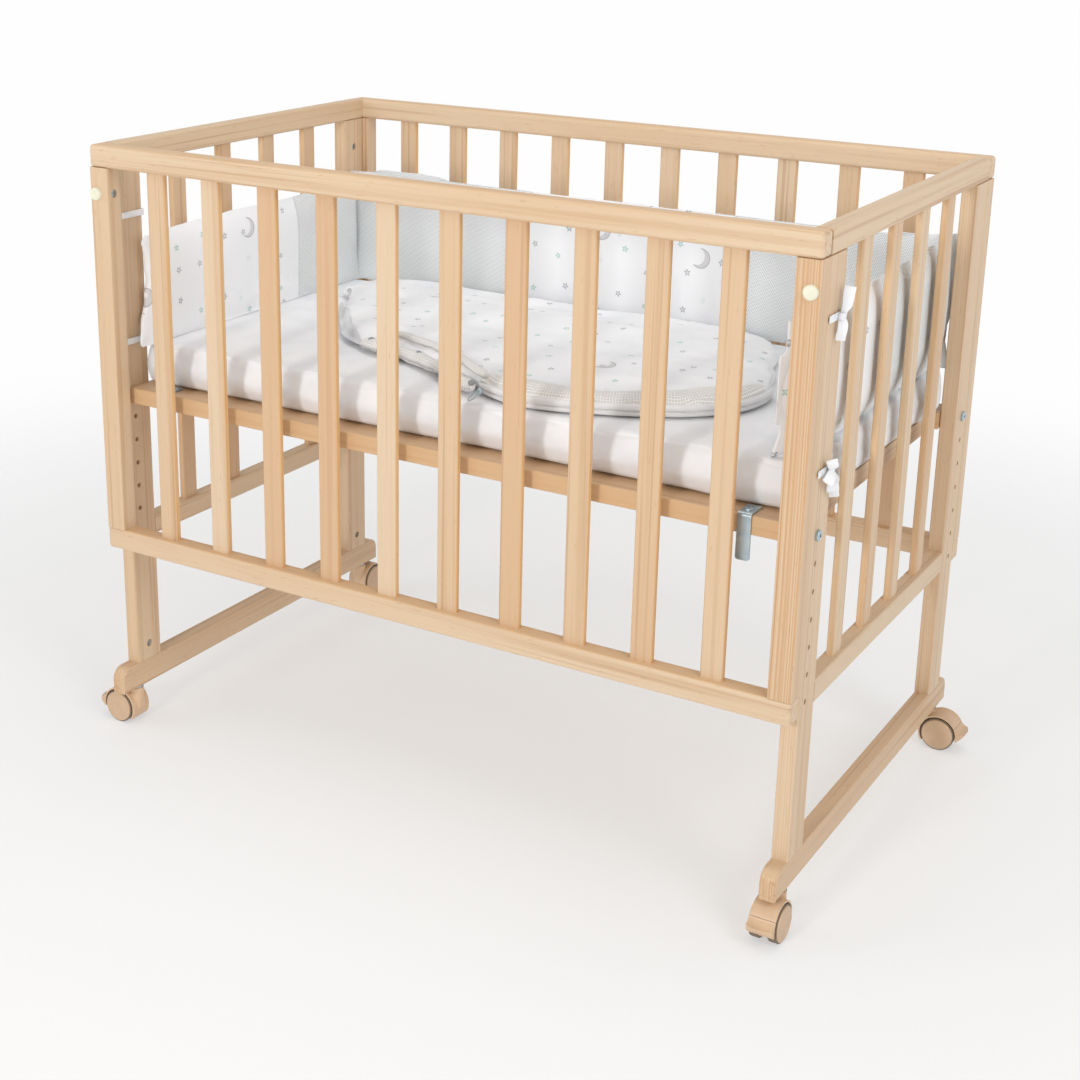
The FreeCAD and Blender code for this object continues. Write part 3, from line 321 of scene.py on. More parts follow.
def star_and_moon_print(s, plane, colour, density=1.0):
    """Scattered small stars and now and then a crescent, printed on the plane of two axes."""
    place = s.split(s.place)
    flat = s.join(place[plane[0]], place[plane[1]])
    at, chance = print_cells(s, flat, STAR_CELL / density, 3.1)
    radius = s.vector_math("LENGTH", s.join(at[0], at[1])).outputs["Value"]
    angle = s.math("ADD", s.math("ARCTAN2", at[1], at[0]), s.math("MULTIPLY", chance[1], 6.28))
    turn = s.math("DIVIDE", s.math("ARCCOSINE", s.math("COSINE", s.math("MULTIPLY", angle, 5.0))), 5.0)
    size = s.math("MULTIPLY_ADD", chance[0], STAR_SPREAD / density, STAR_RADIUS / density)
    reach = s.math("MULTIPLY_ADD", s.math("COSINE", turn), STAR_SIDE[0],
                   s.math("MULTIPLY", s.math("SINE", turn), STAR_SIDE[1]))
    edge = s.math("SUBTRACT", s.math("MULTIPLY", radius, reach), s.math("MULTIPLY", size, STAR_SIDE[0]))
    inside = s.step(edge, STAR_EDGE, -STAR_EDGE)
    rim = s.math("MULTIPLY", inside, s.step(edge, *STAR_RIM))
    tint = s.ramp(chance[2], (0.0, PRINT_GREY), (0.3, PRINT_SLATE), (0.55, PRINT_MINT))
    tint.node.color_ramp.interpolation = "CONSTANT"
    faint = s.step(chance[2], 0.86, 0.9)
    strength = s.math("MULTIPLY", s.math("MULTIPLY_ADD", rim, 0.6, s.math("MULTIPLY", inside, 0.3)),
                      s.math("MULTIPLY_ADD", faint, -0.7, 1.0))
    colour = s.mix(strength, colour, tint)
    at, chance = print_cells(s, flat, MOON_CELL / density, 7.7)
    moon = s.vector_math("LENGTH", s.join(at[0], at[1])).outputs["Value"]
    beside = s.join(s.math("ADD", at[0], BITE_PLACE[0]), s.math("ADD", at[1], BITE_PLACE[1]))
    bite = s.vector_math("LENGTH", beside).outputs["Value"]
    disc = s.step(moon, MOON_RADIUS, MOON_RADIUS - 0.0006)
    crescent = s.math("MULTIPLY", disc, s.step(bite, BITE_RADIUS, BITE_RADIUS + 0.0006))
    from_rim = s.math("ABSOLUTE", s.math("SUBTRACT", moon, MOON_LINE))
    edge = s.math("MULTIPLY", crescent, s.step(from_rim, 0.0014, 0.0004))
    fill = s.math("MULTIPLY_ADD", edge, 0.3, s.math("MULTIPLY", crescent, 0.5))
    return s.mix(fill, colour, rgba(MOON_GREY))


WHITE_COTTON = srgb(247, 248, 250)
SHADED_COTTON = srgb(238, 240, 244)
THREADS = 1400.0  # per metre


def woven(s, depth):
    """A plain weave's small relief, on all faces alike."""
    place = s.split(s.place)
    waves = [s.math("SINE", s.math("MULTIPLY", place[axis], THREADS * 2 * math.pi)) for axis in (X, Y, Z)]
    height = s.math("MULTIPLY", waves[0], waves[1])
    height = s.math("ADD", height, s.math("MULTIPLY", waves[0], waves[2]))
    fuzz = s.noise(s.place, 900.0, 3.0, 0.6)
    return s.bump(s.math("MULTIPLY_ADD", fuzz, 1.2, height), depth)


def cotton(name, plane=None, base=WHITE_COTTON, shade=SHADED_COTTON, density=1.0):
    """Plain cotton, printed where a plane is given."""
    s = Shader(name, 0.86, 0.25)
    cloud = s.noise(s.place, 22.0, 3.0)
    colour = s.ramp(cloud, (0.3, shade), (0.65, base))
    if plane:
        colour = star_and_moon_print(s, plane, colour, density)
    s.surface(Base_Color=colour, Normal=woven(s, 0.00006), Sheen_Weight=0.25, Sheen_Roughness=0.5)
    s.surface(Subsurface_Weight=0.06, Subsurface_Radius=(0.006, 0.006, 0.006))
    return s.material


MESH_PITCH = 0.0046  # of the spacer mesh's holes
MESH_THREAD = srgb(254, 255, 255)
# Painted shade: the holes are coloured a darker blue-grey for the shade seen inside them
MESH_HOLE_SHADE = srgb(186, 200, 203)
SEAM_GREY = srgb(196, 200, 204)
SEAM_WIDTH = (0.0016, 0.0006)  # where a seam's shade begins and where it is full


def mesh_and_cotton(name, plane, cotton_ends):
    """A spacer mesh with small slanting holes, and printed cotton between two places along the first axis."""
    s = Shader(name, 0.8, 0.3)
    place = s.split(s.place)
    along, up = place[plane[0]], place[plane[1]]
    u = s.math("MULTIPLY", s.math("ADD", along, s.math("MULTIPLY", up, 0.9)), 2 * math.pi / MESH_PITCH)
    v = s.math("MULTIPLY", s.math("SUBTRACT", along, s.math("MULTIPLY", up, 1.6)), 2 * math.pi / MESH_PITCH)
    lattice = s.math("MULTIPLY", s.math("SINE", u), s.math("SINE", v))
    hole = s.step(lattice, 0.15, 0.6)
    # White threads, with painted shade in the holes
    mesh_with_hole_shade = s.mix(hole, rgba(MESH_THREAD), rgba(MESH_HOLE_SHADE))
    printed = star_and_moon_print(s, plane, rgba(WHITE_COTTON))
    first, last = cotton_ends
    inside = s.math("MULTIPLY", s.step(along, first, first + 0.0008), s.step(along, last + 0.0008, last))
    at_ends = [s.step(s.math("ABSOLUTE", s.math("SUBTRACT", along, end)), *SEAM_WIDTH) for end in cotton_ends]
    seam = s.math("MAXIMUM", *at_ends)
    colour = s.mix(inside, mesh_with_hole_shade, printed)
    colour = s.mix(s.math("MULTIPLY", seam, 0.25), colour, rgba(SEAM_GREY))
    relief = s.math("MULTIPLY", hole, s.math("MULTIPLY_ADD", inside, -1.0, 1.0))
    height = s.math("MULTIPLY_ADD", relief, -1.0, s.math("MULTIPLY", seam, -0.8))
    weave = woven(s, 0.00005)
    s.surface(Base_Color=colour, Normal=s.bump(height, 0.0009, weave), Sheen_Weight=0.2, Sheen_Roughness=0.5)
    return s.material


def waffle_knit(name):
    """Cream waffle knit: square pits between raised ribs."""
    s = Shader(name, 0.9, 0.2)
    uv = s.split(s.add("UVMap").outputs[0])
    rib_u = s.math("ABSOLUTE", s.math("SINE", s.math("MULTIPLY", uv[0], math.pi)))
    rib_v = s.math("ABSOLUTE", s.math("SINE", s.math("MULTIPLY", uv[1], math.pi)))
    pit = s.step(s.math("MINIMUM", rib_u, rib_v), 0.25, 0.8)
    # Painted shade: the pits are coloured darker grey for the shade in the hollows
    colour = s.mix(pit, rgba(srgb(252, 251, 249)), rgba(srgb(226, 224, 220)))
    s.surface(Base_Color=colour, Normal=s.bump(s.math("MULTIPLY", pit, -1.0), 0.0011), Sheen_Weight=0.25)
    return s.material


# ---- Mesh helpers ----

def smooth_waves(points, lengths, seed):
    """A smooth height from -1 to 1 at each point, with the given wavelength along each axis."""
    scale = [1 / length for length in lengths]
    shift = Vector((seed, seed * 1.3, seed * 0.7))
    places = (Vector((x * scale[0], y * scale[1], z * scale[2])) for x, y, z in points)
    return np.array([noise.noise(place + shift) for place in places])


def vertices(mesh):
    points = np.zeros(len(mesh.vertices) * 3)
    mesh.vertices.foreach_get("co", points)
    return points.reshape(-1, 3)


def set_vertices(mesh, points):
    mesh.vertices.foreach_set("co", points.ravel())
    mesh.update()


def normals(mesh):
    out = np.zeros(len(mesh.vertices) * 3)
    mesh.vertex_normals.foreach_get("vector", out)
    return out.reshape(-1, 3)


def new_mesh(name, verts, faces):
    mesh = bpy.data.meshes.new(name)
    mesh.from_pydata(verts, [], faces)
    return mesh


def mesh_with_uvs(name, verts, faces, uvs):
    mesh = new_mesh(name, verts, faces)
    layer = mesh.uv_layers.new(name="ribs")
    for loop in mesh.loops:
        layer.data[loop.index].uv = uvs[loop.vertex_index]
    return mesh


def grid_faces(rows, columns):
    """Faces of a grid of points that are numbered row by row."""
    corners = [i * columns + j for i in range(rows - 1) for j in range(columns - 1)]
    return [(a, a + columns, a + columns + 1, a + 1) for a in corners]


def tube_faces(rings, sides):
    """Faces between rings of points that follow each other, closed at both ends."""
    faces = []
    for i in range(rings - 1):
        for j in range(sides):
            k = (j + 1) % sides
            faces.append((i * sides + j, i * sides + k, (i + 1) * sides + k, (i + 1) * sides + j))
    faces.append(tuple(reversed(range(sides))))
    faces.append(tuple(range((rings - 1) * sides, rings * sides)))
    return faces


def new_object(name, mesh):
    piece = bpy.data.objects.new(name, mesh)
    bpy.context.scene.collection.objects.link(piece)
    return piece


def settle(piece):
    """Puts the result of the piece's modifiers into its mesh."""
    graph = bpy.context.evaluated_depsgraph_get()
    mesh = bpy.data.meshes.new_from_object(piece.evaluated_get(graph))
    piece.modifiers.clear()
    piece.data = mesh
    return piece


def shade_smooth(piece):
    piece.data.polygons.foreach_set("use_smooth", [True] * len(piece.data.polygons))


def smooth_out(piece):
    """Divides the piece's faces once, with its other modifiers applied first."""
    smooth = piece.modifiers.new("smooth", "SUBSURF")
    smooth.levels = smooth.render_levels = 1
    settle(piece)
    shade_smooth(piece)


def thicken(piece, thickness):
    thick = piece.modifiers.new("thick", "SOLIDIFY")
    thick.thickness = thickness
    thick.offset = 0
    smooth_out(piece)


def form_of(node, name, cell):
    """The CAD form of a soft piece as an even mesh."""
    piece = new_object(name, nodes[node].data.copy())
    shape = bmesh.new()
    shape.from_mesh(piece.data)
    bmesh.ops.remove_doubles(shape, verts=shape.verts, dist=0.00002)
    shape.to_mesh(piece.data)
    shape.free()
    return remeshed(piece, cell)


def remeshed(piece, cell):
    remesh = piece.modifiers.new("remesh", "REMESH")
    remesh.mode = "VOXEL"
    remesh.voxel_size = cell
    return settle(piece)


CLOTH_FRAMES = 20  # of filling


def swell(piece, inset, cap, slack=0.04):
    """Shrinks a closed form by the inset, then fills it as air and wadding fill a cover.

    No point travels further than the cap, so folds stay small; slack is how much larger the cover may grow.
    """
    points = vertices(piece.data)
    set_vertices(piece.data, points - normals(piece.data) * inset)
    start = vertices(piece.data)
    modifier = piece.modifiers.new("cloth", "CLOTH")
    cloth = modifier.settings
    cloth.quality = 4
    cloth.mass = 0.25
    cloth.tension_stiffness = 12
    cloth.compression_stiffness = 12
    cloth.shear_stiffness = 6
    cloth.bending_stiffness = 0.4
    cloth.use_pressure = True
    cloth.uniform_pressure_force = 4.0
    cloth.shrink_min = -slack
    cloth.effector_weights.gravity = 0
    modifier.collision_settings.use_collision = False
    for number in range(1, CLOTH_FRAMES + 1):
        bpy.context.scene.frame_set(number)
    settle(piece)
    bpy.context.scene.frame_set(1)
    moved = vertices(piece.data) - start
    length = np.maximum(np.linalg.norm(moved, axis=1, keepdims=True), 1e-9)
    set_vertices(piece.data, start + moved * np.minimum(1.0, cap / length))


def finish_soft(piece, material, node):
    smooth_out(piece)
    piece.data.materials.clear()
    piece.data.materials.append(material)
    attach(piece, "mattress_base")
    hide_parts(node)


# ---- Mattress and bumpers, in metres ----

OUTLINE_POINTS = 40  # on each corner, and again on each side
SHEET_END, SHEET_SIDE = 0.0088, 0.0130  # how far the sheet reaches beyond the CAD solid at the ends and sides
BOTTOM_ROUND, TOP_ROUND, CORNER_ROUND = 0.014, 0.017, 0.019
SIDE_BULGE = 0.006
UNDER_FLAT, TOP_FLAT = 0.186, 0.19  # widths of the flat rings of faces below and on top
END_SHARE = 0.4  # rounding at the ends, as a share of that at the sides

CLEARANCE = 0.0002  # kept inside a soft piece's CAD box
BUMPER_RISE = {"left": 0.001, "back": 0.006, "right": 0.001}  # top edge above the CAD solid
SECTION_REACH = 0.009  # half the width of the slices that a bumper's lowest points come from
SQUASH = 0.010  # height of the squashed bottom of a bumper


def rounded_outline(half_x, half_y, radius):
    """Points round a rectangle with round corners, as many on each side as on each corner."""
    radius = max(0.0005, min(radius, half_x, half_y))
    arcs = []
    for side_x, side_y, turn in ((1, 1, 0.0), (-1, 1, 0.5), (-1, -1, 1.0), (1, -1, 1.5)):
        centre = (side_x * (half_x - radius), side_y * (half_y - radius))
        angles = [math.pi * (turn + 0.5 * i / (OUTLINE_POINTS - 1)) for i in range(OUTLINE_POINTS)]
        arcs.append([(centre[0] + radius * math.cos(a), centre[1] + radius * math.sin(a)) for a in angles])
    outline = []
    for arc, following in zip(arcs, arcs[1:] + arcs[:1]):
        outline += arc
        for i in range(1, OUTLINE_POINTS + 1):
            share = i / (OUTLINE_POINTS + 1)
            outline.append(tuple(a + (b - a) * share for a, b in zip(arc[-1], following[0])))
    return outline


def mattress_form():
    """A foam block in a fitted sheet: square enough to fill the base, with soft edges."""
    lower, upper = low("mattress"), high("mattress")
    half_x, half_y = upper.x + SHEET_END, upper.y + SHEET_SIDE
    floor_z, top_z = lower.z - 0.0010, upper.z + 0.0018
    rows = [(UNDER_FLAT + BOTTOM_ROUND - UNDER_FLAT * i / 11, floor_z) for i in range(12)]
    for i in range(1, 7):
        angle = math.pi / 2 * i / 6
        inset = BOTTOM_ROUND - BOTTOM_ROUND * math.sin(angle)
        rows.append((inset, floor_z + BOTTOM_ROUND - BOTTOM_ROUND * math.cos(angle)))
    side_height = top_z - floor_z - (BOTTOM_ROUND + TOP_ROUND)
    for i in range(1, 6):
        share = i / 6
        rows.append((-SIDE_BULGE * math.sin(math.pi * share), floor_z + BOTTOM_ROUND + side_height * share))
    for i in range(7):
        angle = math.pi / 2 * i / 6
        inset = TOP_ROUND - TOP_ROUND * math.cos(angle)
        rows.append((inset, top_z - TOP_ROUND + TOP_ROUND * math.sin(angle)))
    rows += [(TOP_ROUND + TOP_FLAT * i / 13, top_z) for i in range(1, 14)]
    verts = []
    for inset, z in rows:
        on_edge = inset < TOP_ROUND + 0.0001
        end_inset = max(END_SHARE * inset, -0.0003) if on_edge else inset - (1 - END_SHARE) * TOP_ROUND
        ring = rounded_outline(half_x - end_inset, half_y - inset, CORNER_ROUND - inset)
        verts += [(x, y, z) for x, y in ring]
    return new_mesh("mattress_in_sheet", verts, tube_faces(len(rows), len(ring)))


def make_mattress():
    piece = remeshed(new_object("mattress_in_sheet", mattress_form()), MATTRESS_CELL)
    swell(piece, 0.002, 0.002)
    lower, upper = low("mattress"), high("mattress")
    points = vertices(piece.data)
    outward = normals(piece.data)
    # Long folds and fine creases on top, upright drag lines on the sides
    folds = smooth_waves(points, (0.28, 0.024, 0.06), 2.0) * 0.0034
    folds += smooth_waves(points, (0.09, 0.013, 0.04), 8.0) * 0.0007
    drag = smooth_waves(points, (0.07, 0.22, 0.018), 5.0) * 0.0013
    side = np.clip((lower.z + 0.040 - points[:, Z]) / 0.012, 0, 1)
    near_front = np.clip((0.02 - points[:, Y]) / 0.15, 0.25, 1)
    points = points + outward * (folds * near_front * (1 - side) + drag * side)[:, None]
    points[:, X] = np.clip(points[:, X], lower.x - SHEET_END, upper.x + SHEET_END)
    points[:, Z] = np.clip(points[:, Z], lower.z + 0.0004, upper.z - 0.0002)
    set_vertices(piece.data, points)
    finish_soft(piece, cotton("mattress_sheet"), "mattress")


def make_bumper(side, material, seed):
    node = "bumper_" + side
    piece = form_of(node, "padded_" + node, PANEL_CELL)
    swell(piece, 0.003, 0.0045, slack=0.06)
    points = vertices(piece.data)
    run, through = (X, Y) if side == "back" else (Y, X)
    lower, upper = low(node), high(node)
    share = (points[:, Z] - lower.z) / (upper.z - lower.z)
    gathers = smooth_waves(points, (0.045, 0.045, 0.22), seed) * 0.0020
    puckers = smooth_waves(points, (0.02, 0.02, 0.05), seed + 9) * 0.0009
    near_seam = np.clip(1.6 * np.abs(share - 0.5) * 2 - 0.6, 0, 1)
    points += normals(piece.data) * (gathers * (1 - near_seam) + puckers)[:, None]
    shape_front_end(points, side, share, points[:, run] - lower[run])
    for axis in (X, Y):
        if axis != run or side == "back":
            start = lower[axis] - 0.0060 if side == "right" else lower[axis] + CLEARANCE
            points[:, axis] = np.clip(points[:, axis], start, upper[axis] - CLEARANCE)
    tuck = np.clip(1 - share / 0.3, 0, 1) ** 2 * 0.012
    points[:, through] += tuck * (1 if side == "left" else -1)
    rest_on_mattress(points, run, lower.z, upper.z + BUMPER_RISE[side])
    set_vertices(piece.data, points)
    finish_soft(piece, material, node)


def shape_front_end(points, side, share, from_end):
    """The left bumper's gathered and flared front end, and the right one's that is drawn forwards and inwards."""
    edge = np.clip(1 - from_end / 0.016, 0, 1)
    near_end = np.clip(1 - from_end / 0.06, 0, 1)
    if side == "left":
        points[:, Y] += edge * (0.0040 * np.abs(np.sin(points[:, Z] * math.pi / 0.030)) + 0.001)
        flare = 0.016 * np.sin(math.pi * np.clip(share, 0, 1)) ** 2
        points[:, Y] += near_end * (flare - 0.013 * (1 - share) ** 2)
    if side == "right":
        points[:, Y] -= near_end * 0.004
        points[:, X] -= near_end * 0.007


def rest_on_mattress(points, run, mattress_z, top_z):
    """Stretches a bumper to its height, lets each section down onto the mattress and squashes its bottom."""
    lowest, highest = points[:, Z].min(), points[:, Z].max()
    stretch = (top_z - mattress_z - CLEARANCE) / (highest - lowest)
    floor_z = mattress_z + CLEARANCE
    points[:, Z] = floor_z + (points[:, Z] - lowest) * stretch
    low_down = np.clip(1 - (points[:, Z] - mattress_z) / 0.08, 0, 1)
    points[:, Z] -= lifted_bottom(points, run, floor_z) * low_down
    above = np.clip((points[:, Z] - mattress_z - CLEARANCE) / SQUASH, 0, 1)
    points[:, Z] = np.where(above < 1, floor_z + SQUASH * above ** 1.8, points[:, Z])


def lifted_bottom(points, run, floor_z):
    """How far the lowest point of a bumper's upright section stands above the mattress, at each point's section."""
    place = points[:, run]
    centres = np.linspace(place.min() + 0.004, place.max() - 0.004, 60)
    lowest = np.array([points[np.abs(place - centre) < SECTION_REACH][:, Z].min() for centre in centres])
    for _ in range(2):
        lowest[1:-1] = (lowest[:-2] + 2 * lowest[1:-1] + lowest[2:]) / 4
    return np.interp(place, centres, lowest) - floor_z


# ---- Sleeping bag, in metres ----

# Places in plan; the parts of the outline go from the first to the second place
BORDER_ENDS = ((0.02, -0.205), (0.337, -0.05))
FACING_ENDS = ((-0.36, 0.06), (-0.196, -0.112))
HEM_ENDS = ((0.02, -0.205), (0.335, 0.0))
OPENING = ((-0.200, -0.104), (-0.165, -0.118), (-0.125, -0.126), (-0.085, -0.140), (-0.045, -0.160),
           (-0.010, -0.184), (0.030, -0.209))
SNAPS = ((-0.182, -0.108), (-0.096, -0.130), (-0.039, -0.158), (0.028, -0.205))
ZIP_PLACE = (0.047, -0.2225)
ZIP_PULL = (-0.0100, -0.0080, -0.0108)  # from the slider to the far end of its pull

# Hems: name, distance inside the outline, height, radius
HEMS = (("bag_hem_upper", 0.0005, 0.0130, 0.0048), ("bag_hem_lower", 0.003, 0.0052, 0.0044))
BORDER_WIDTH, FACING_WIDTH = 0.034, 0.013
WAFFLE_RIB = 0.0036
SNAP_TILT = (0.1, -0.55, 0.8)
ZIP_TILT = (0.35, -0.75, 0.5)

# Turned profiles as (radius, height)
SNAP_PROFILE = ((0.0042, 0.0), (0.0044, 0.0008), (0.0036, 0.0016), (0.0024, 0.0014), (0.0012, 0.0024),
                (0.0003, 0.0025))
SLIDER_PROFILE = ((0.0002, -0.0017), (0.0030, -0.0016), (0.0037, -0.0004), (0.0035, 0.0010), (0.0022, 0.0018),
                  (0.0002, 0.0019))


def outline_of(piece):
    """The plan outline of a soft piece: the furthest point in each direction from its middle."""
    points = vertices(piece.data)
    centre = points[:, :2].mean(axis=0)
    count = 240
    ring = []
    for i in range(count):
        angle = 2 * math.pi * i / count
        ray = np.array((math.cos(angle), math.sin(angle)))
        offset = points[:, :2] - centre
        reach = offset @ ray
        side = np.abs(offset @ np.array((-ray[1], ray[0])))
        aligned = side < 0.03 * np.maximum(reach, 0.001) + 0.004
        ring.append(centre + ray * reach[aligned].max())
    ring = np.array(ring)
    for _ in range(3):
        ring = (np.roll(ring, 1, axis=0) + 2 * ring + np.roll(ring, -1, axis=0)) / 4
    return ring


def ring_part(ring, start, end):
    """The points of an outline from the one nearest to start round to the one nearest to end."""
    first, last = (int(np.argmin(np.linalg.norm(ring - np.array(p), axis=1))) for p in (start, end))
    count = len(ring)
    steps = (last - first) % count
    picked = [ring[(first + i) % count] for i in range(steps + 1)]
    inward = []
    for i in range(steps + 1):
        along = ring[(first + i + 1) % count] - ring[(first + i - 1) % count]
        inward.append(np.array((-along[1], along[0])) / np.linalg.norm(along))
    return picked, inward


def surface_height(tree, x, y, missing):
    hit = tree.ray_cast(Vector((x, y, 2.0)), Vector((0, 0, -1)))
    return hit[0].z if hit[0] else missing


def draped_strip(name, surface, ring, ends, width, outer, lift, material, rib):
    """A band that follows part of the bag's outline, with UVs that count its ribs."""
    tree = BVHTree.FromObject(surface, bpy.context.evaluated_depsgraph_get())
    missing = low("sleeping_bag").z + 0.006
    picked, inward = ring_part(ring, *ends)
    columns = 10
    verts, uvs = [], []
    travelled = 0.0
    last = len(picked) - 1
    for i, (point, towards) in enumerate(zip(picked, inward)):
        if i:
            travelled += float(np.linalg.norm(point - picked[i - 1]))
        taper = min(1.0, i / 8.0, (last - i) / 8.0)
        for j in range(columns):
            distance = outer + (width - outer) * j / (columns - 1) * (0.3 + 0.7 * taper)
            x, y = point + towards * distance
            crown = math.sin(math.pi * j / (columns - 1)) * 0.0010
            verts.append((x, y, surface_height(tree, x, y, missing) + lift + crown))
            uvs.append((travelled / rib, distance / rib))
    piece = new_object(name, mesh_with_uvs(name, verts, grid_faces(len(picked), columns), uvs))
    thicken(piece, 0.0016)
    piece.data.materials.append(material)
    return piece


def smooth_line(points, steps=6):
    """Points on a smooth curve through the given ones."""
    points = [np.array(p, float) for p in points]
    padded = [2 * points[0] - points[1]] + points + [2 * points[-1] - points[-2]]
    line = []
    for i in range(len(points) - 1):
        a, b, c, d = padded[i:i + 4]
        for j in range(steps):
            t = j / steps
            line.append(0.5 * (2 * b + (c - a) * t + (2 * a - 5 * b + 4 * c - d) * t ** 2
                               + (3 * b - a - 3 * c + d) * t ** 3))
    return line + [points[-1]]


def soft_roll(name, line, radius, material, rib, seed, uneven, flat=0.85):
    """A rolled edge of cloth along a line, a little uneven, closed at its ends."""
    sides = 16
    verts, uvs = [], []
    travelled = 0.0
    last = len(line) - 1
    for i, centre in enumerate(line):
        before, after = line[max(i - 1, 0)], line[min(i + 1, last)]
        along = (after - before) / np.linalg.norm(after - before)
        side = np.cross(along, (0, 0, 1))
        side /= np.linalg.norm(side)
        up = np.cross(side, along)
        if i:
            travelled += float(np.linalg.norm(centre - line[i - 1]))
        end = math.sqrt(max(0.0, 1 - (1 - min(1.0, (i + 0.3) / 3, (last - i + 0.3) / 3)) ** 2))
        for j in range(sides):
            angle = 2 * math.pi * j / sides
            swirl = noise.noise(Vector((travelled * 55 + seed, math.cos(angle) * 0.9, math.sin(angle) * 0.9)))
            reach = radius * (1 + uneven * swirl) * end
            verts.append(tuple(centre + side * math.cos(angle) * reach + up * math.sin(angle) * reach * flat))
            uvs.append((travelled / rib, angle * radius / rib))
    piece = new_object(name, mesh_with_uvs(name, verts, tube_faces(len(line), sides), uvs))
    smooth_out(piece)
    piece.data.materials.append(material)
    return piece


def turned(name, profile, place, axis, material):
    """A small turned piece: a profile of (radius, height) round an axis."""
    sides = 20
    frame_of = Vector(axis).to_track_quat("Z", "Y").to_matrix()
    verts = []
    for radius, height in profile:
        for j in range(sides):
            angle = 2 * math.pi * j / sides
            local = Vector((radius * math.cos(angle), radius * math.sin(angle), height))
            verts.append(Vector(place) + frame_of @ local)
    piece = new_object(name, new_mesh(name, verts, tube_faces(len(profile), sides)))
    shade_smooth(piece)
    piece.data.materials.append(material)
    return piece


def make_sleeping_bag():
    piece = form_of("sleeping_bag", "sleeping_bag_body", PANEL_CELL)
    swell(piece, 0.003, 0.005, slack=0.05)
    lower, upper = low("sleeping_bag"), high("sleeping_bag")
    points = vertices(piece.data)
    folds = smooth_waves(points, (0.34, 0.075, 0.3), 1.0) * 0.0075
    folds += smooth_waves(points, (0.11, 0.03, 0.2), 4.0) * 0.0030
    folds += smooth_waves(points, (0.03, 0.03, 0.2), 6.0) * 0.0008
    top = np.clip((points[:, Z] - lower.z) / (upper.z - lower.z), 0, 1)
    points[:, Z] += (folds - 0.003) * top
    points[:, Z] = np.clip(points[:, Z], lower.z + 0.0006, upper.z + 0.004)
    set_vertices(piece.data, points)
    finish_soft(piece, cotton("bag_print", (X, Y)), "sleeping_bag")
    for trim in bag_trims(piece, lower.z):
        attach(trim, "mattress_base")
    make_zip_puller(Vector((*ZIP_PLACE, lower.z + 0.0132)), Vector(ZIP_PULL))


def bag_trims(bag, sheet_z):
    """Border, facing, two hems, the rolled and folded lining and the snaps, each a piece of its own."""
    ring = outline_of(bag)
    waffle = waffle_knit("bag_waffle")
    plain = cotton("bag_hem", base=srgb(240, 240, 240), shade=srgb(230, 230, 231))
    lining = cotton("bag_lining", base=srgb(222, 224, 228), shade=srgb(208, 211, 216))
    trims = [
        draped_strip("bag_border", bag, ring, BORDER_ENDS, BORDER_WIDTH, 0.0005, 0.0012, waffle, WAFFLE_RIB),
        draped_strip("bag_facing", bag, ring, FACING_ENDS, FACING_WIDTH, -0.001, 0.0010, lining, 0.002),
    ]
    picked, inward = ring_part(ring, *HEM_ENDS)
    for name, inset, height, radius in HEMS:
        line = [np.array((*(p + n * inset), sheet_z + height)) for p, n in zip(picked[::3], inward[::3])]
        trims.append(soft_roll(name, line, radius, plain, 0.01, 3.0 + height, uneven=0.10))
    line = smooth_line([(x, y, sheet_z + 0.0105) for x, y in OPENING])
    trims.append(soft_roll("bag_lining_roll", line, 0.0095, waffle, WAFFLE_RIB, 11.0, uneven=0.5))
    tree = BVHTree.FromObject(bag, bpy.context.evaluated_depsgraph_get())
    inner = [(x + 0.012, y + 0.020) for x, y in OPENING[1:]]
    line = smooth_line([(x, y, surface_height(tree, x, y, sheet_z + 0.02) + 0.001) for x, y in inner])
    trims.append(soft_roll("bag_lining_fold", line, 0.0075, waffle, WAFFLE_RIB, 23.0, uneven=0.6, flat=0.55))
    snap = moulded_plastic("snap_plastic", srgb(150, 152, 156))
    for i, (x, y) in enumerate(SNAPS):
        place = (x, y - 0.004, sheet_z + 0.0168)
        trims.append(turned("bag_snap_%d" % i, SNAP_PROFILE, place, SNAP_TILT, snap))
    return trims


def make_zip_puller(place, pull):
    """The zip's slider at the end of the lining, and its wire pull that leans down to the sheet."""
    metal = zinc()
    pieces = [turned("zip_slider", SLIDER_PROFILE, place, ZIP_TILT, metal)]
    across = Vector((0.665, 0.16, -0.72)) * 0.0024
    loop = []
    for i in range(33):
        angle = 2 * math.pi * i / 32
        loop.append(np.array(place + pull * (0.5 + 0.5 * math.cos(angle)) + across * math.sin(angle)))
    pieces.append(soft_roll("zip_pull", loop, 0.0008, metal, 0.01, 2.0, uneven=0.0, flat=1.0))
    for piece in pieces:
        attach(piece, "mattress_base")


# ---- Ribbons ----

RIBBON_WIDTH = 0.0125  # of the loops, in metres
WRAP_WIDTH, KNOT_WIDTH = 0.0085, 0.0080  # where the ribbon is tight round the leg and round the knot
TAPE_POINTS = 5  # across the ribbon
LEG_GAP = 0.0015  # between the leg and the ribbon's middle

# Bows: height, the knot's Y, then loops and tails as (y, z, tilt) from the knot, in metres and degrees;
# the tilt turns a strip's width out from the leg
UPPER_BOW = (0.704, -0.2425,
             [(0.009, 0.029, 62)],
             [(-0.005, -0.025, 50), (0.001, -0.020, 30)])
LOWER_BOW = (0.540, -0.2400,
             [(-0.009, 0.014, 58), (-0.018, -0.011, 45)],
             [(0.007, -0.033, 60), (0.001, -0.026, 40)])


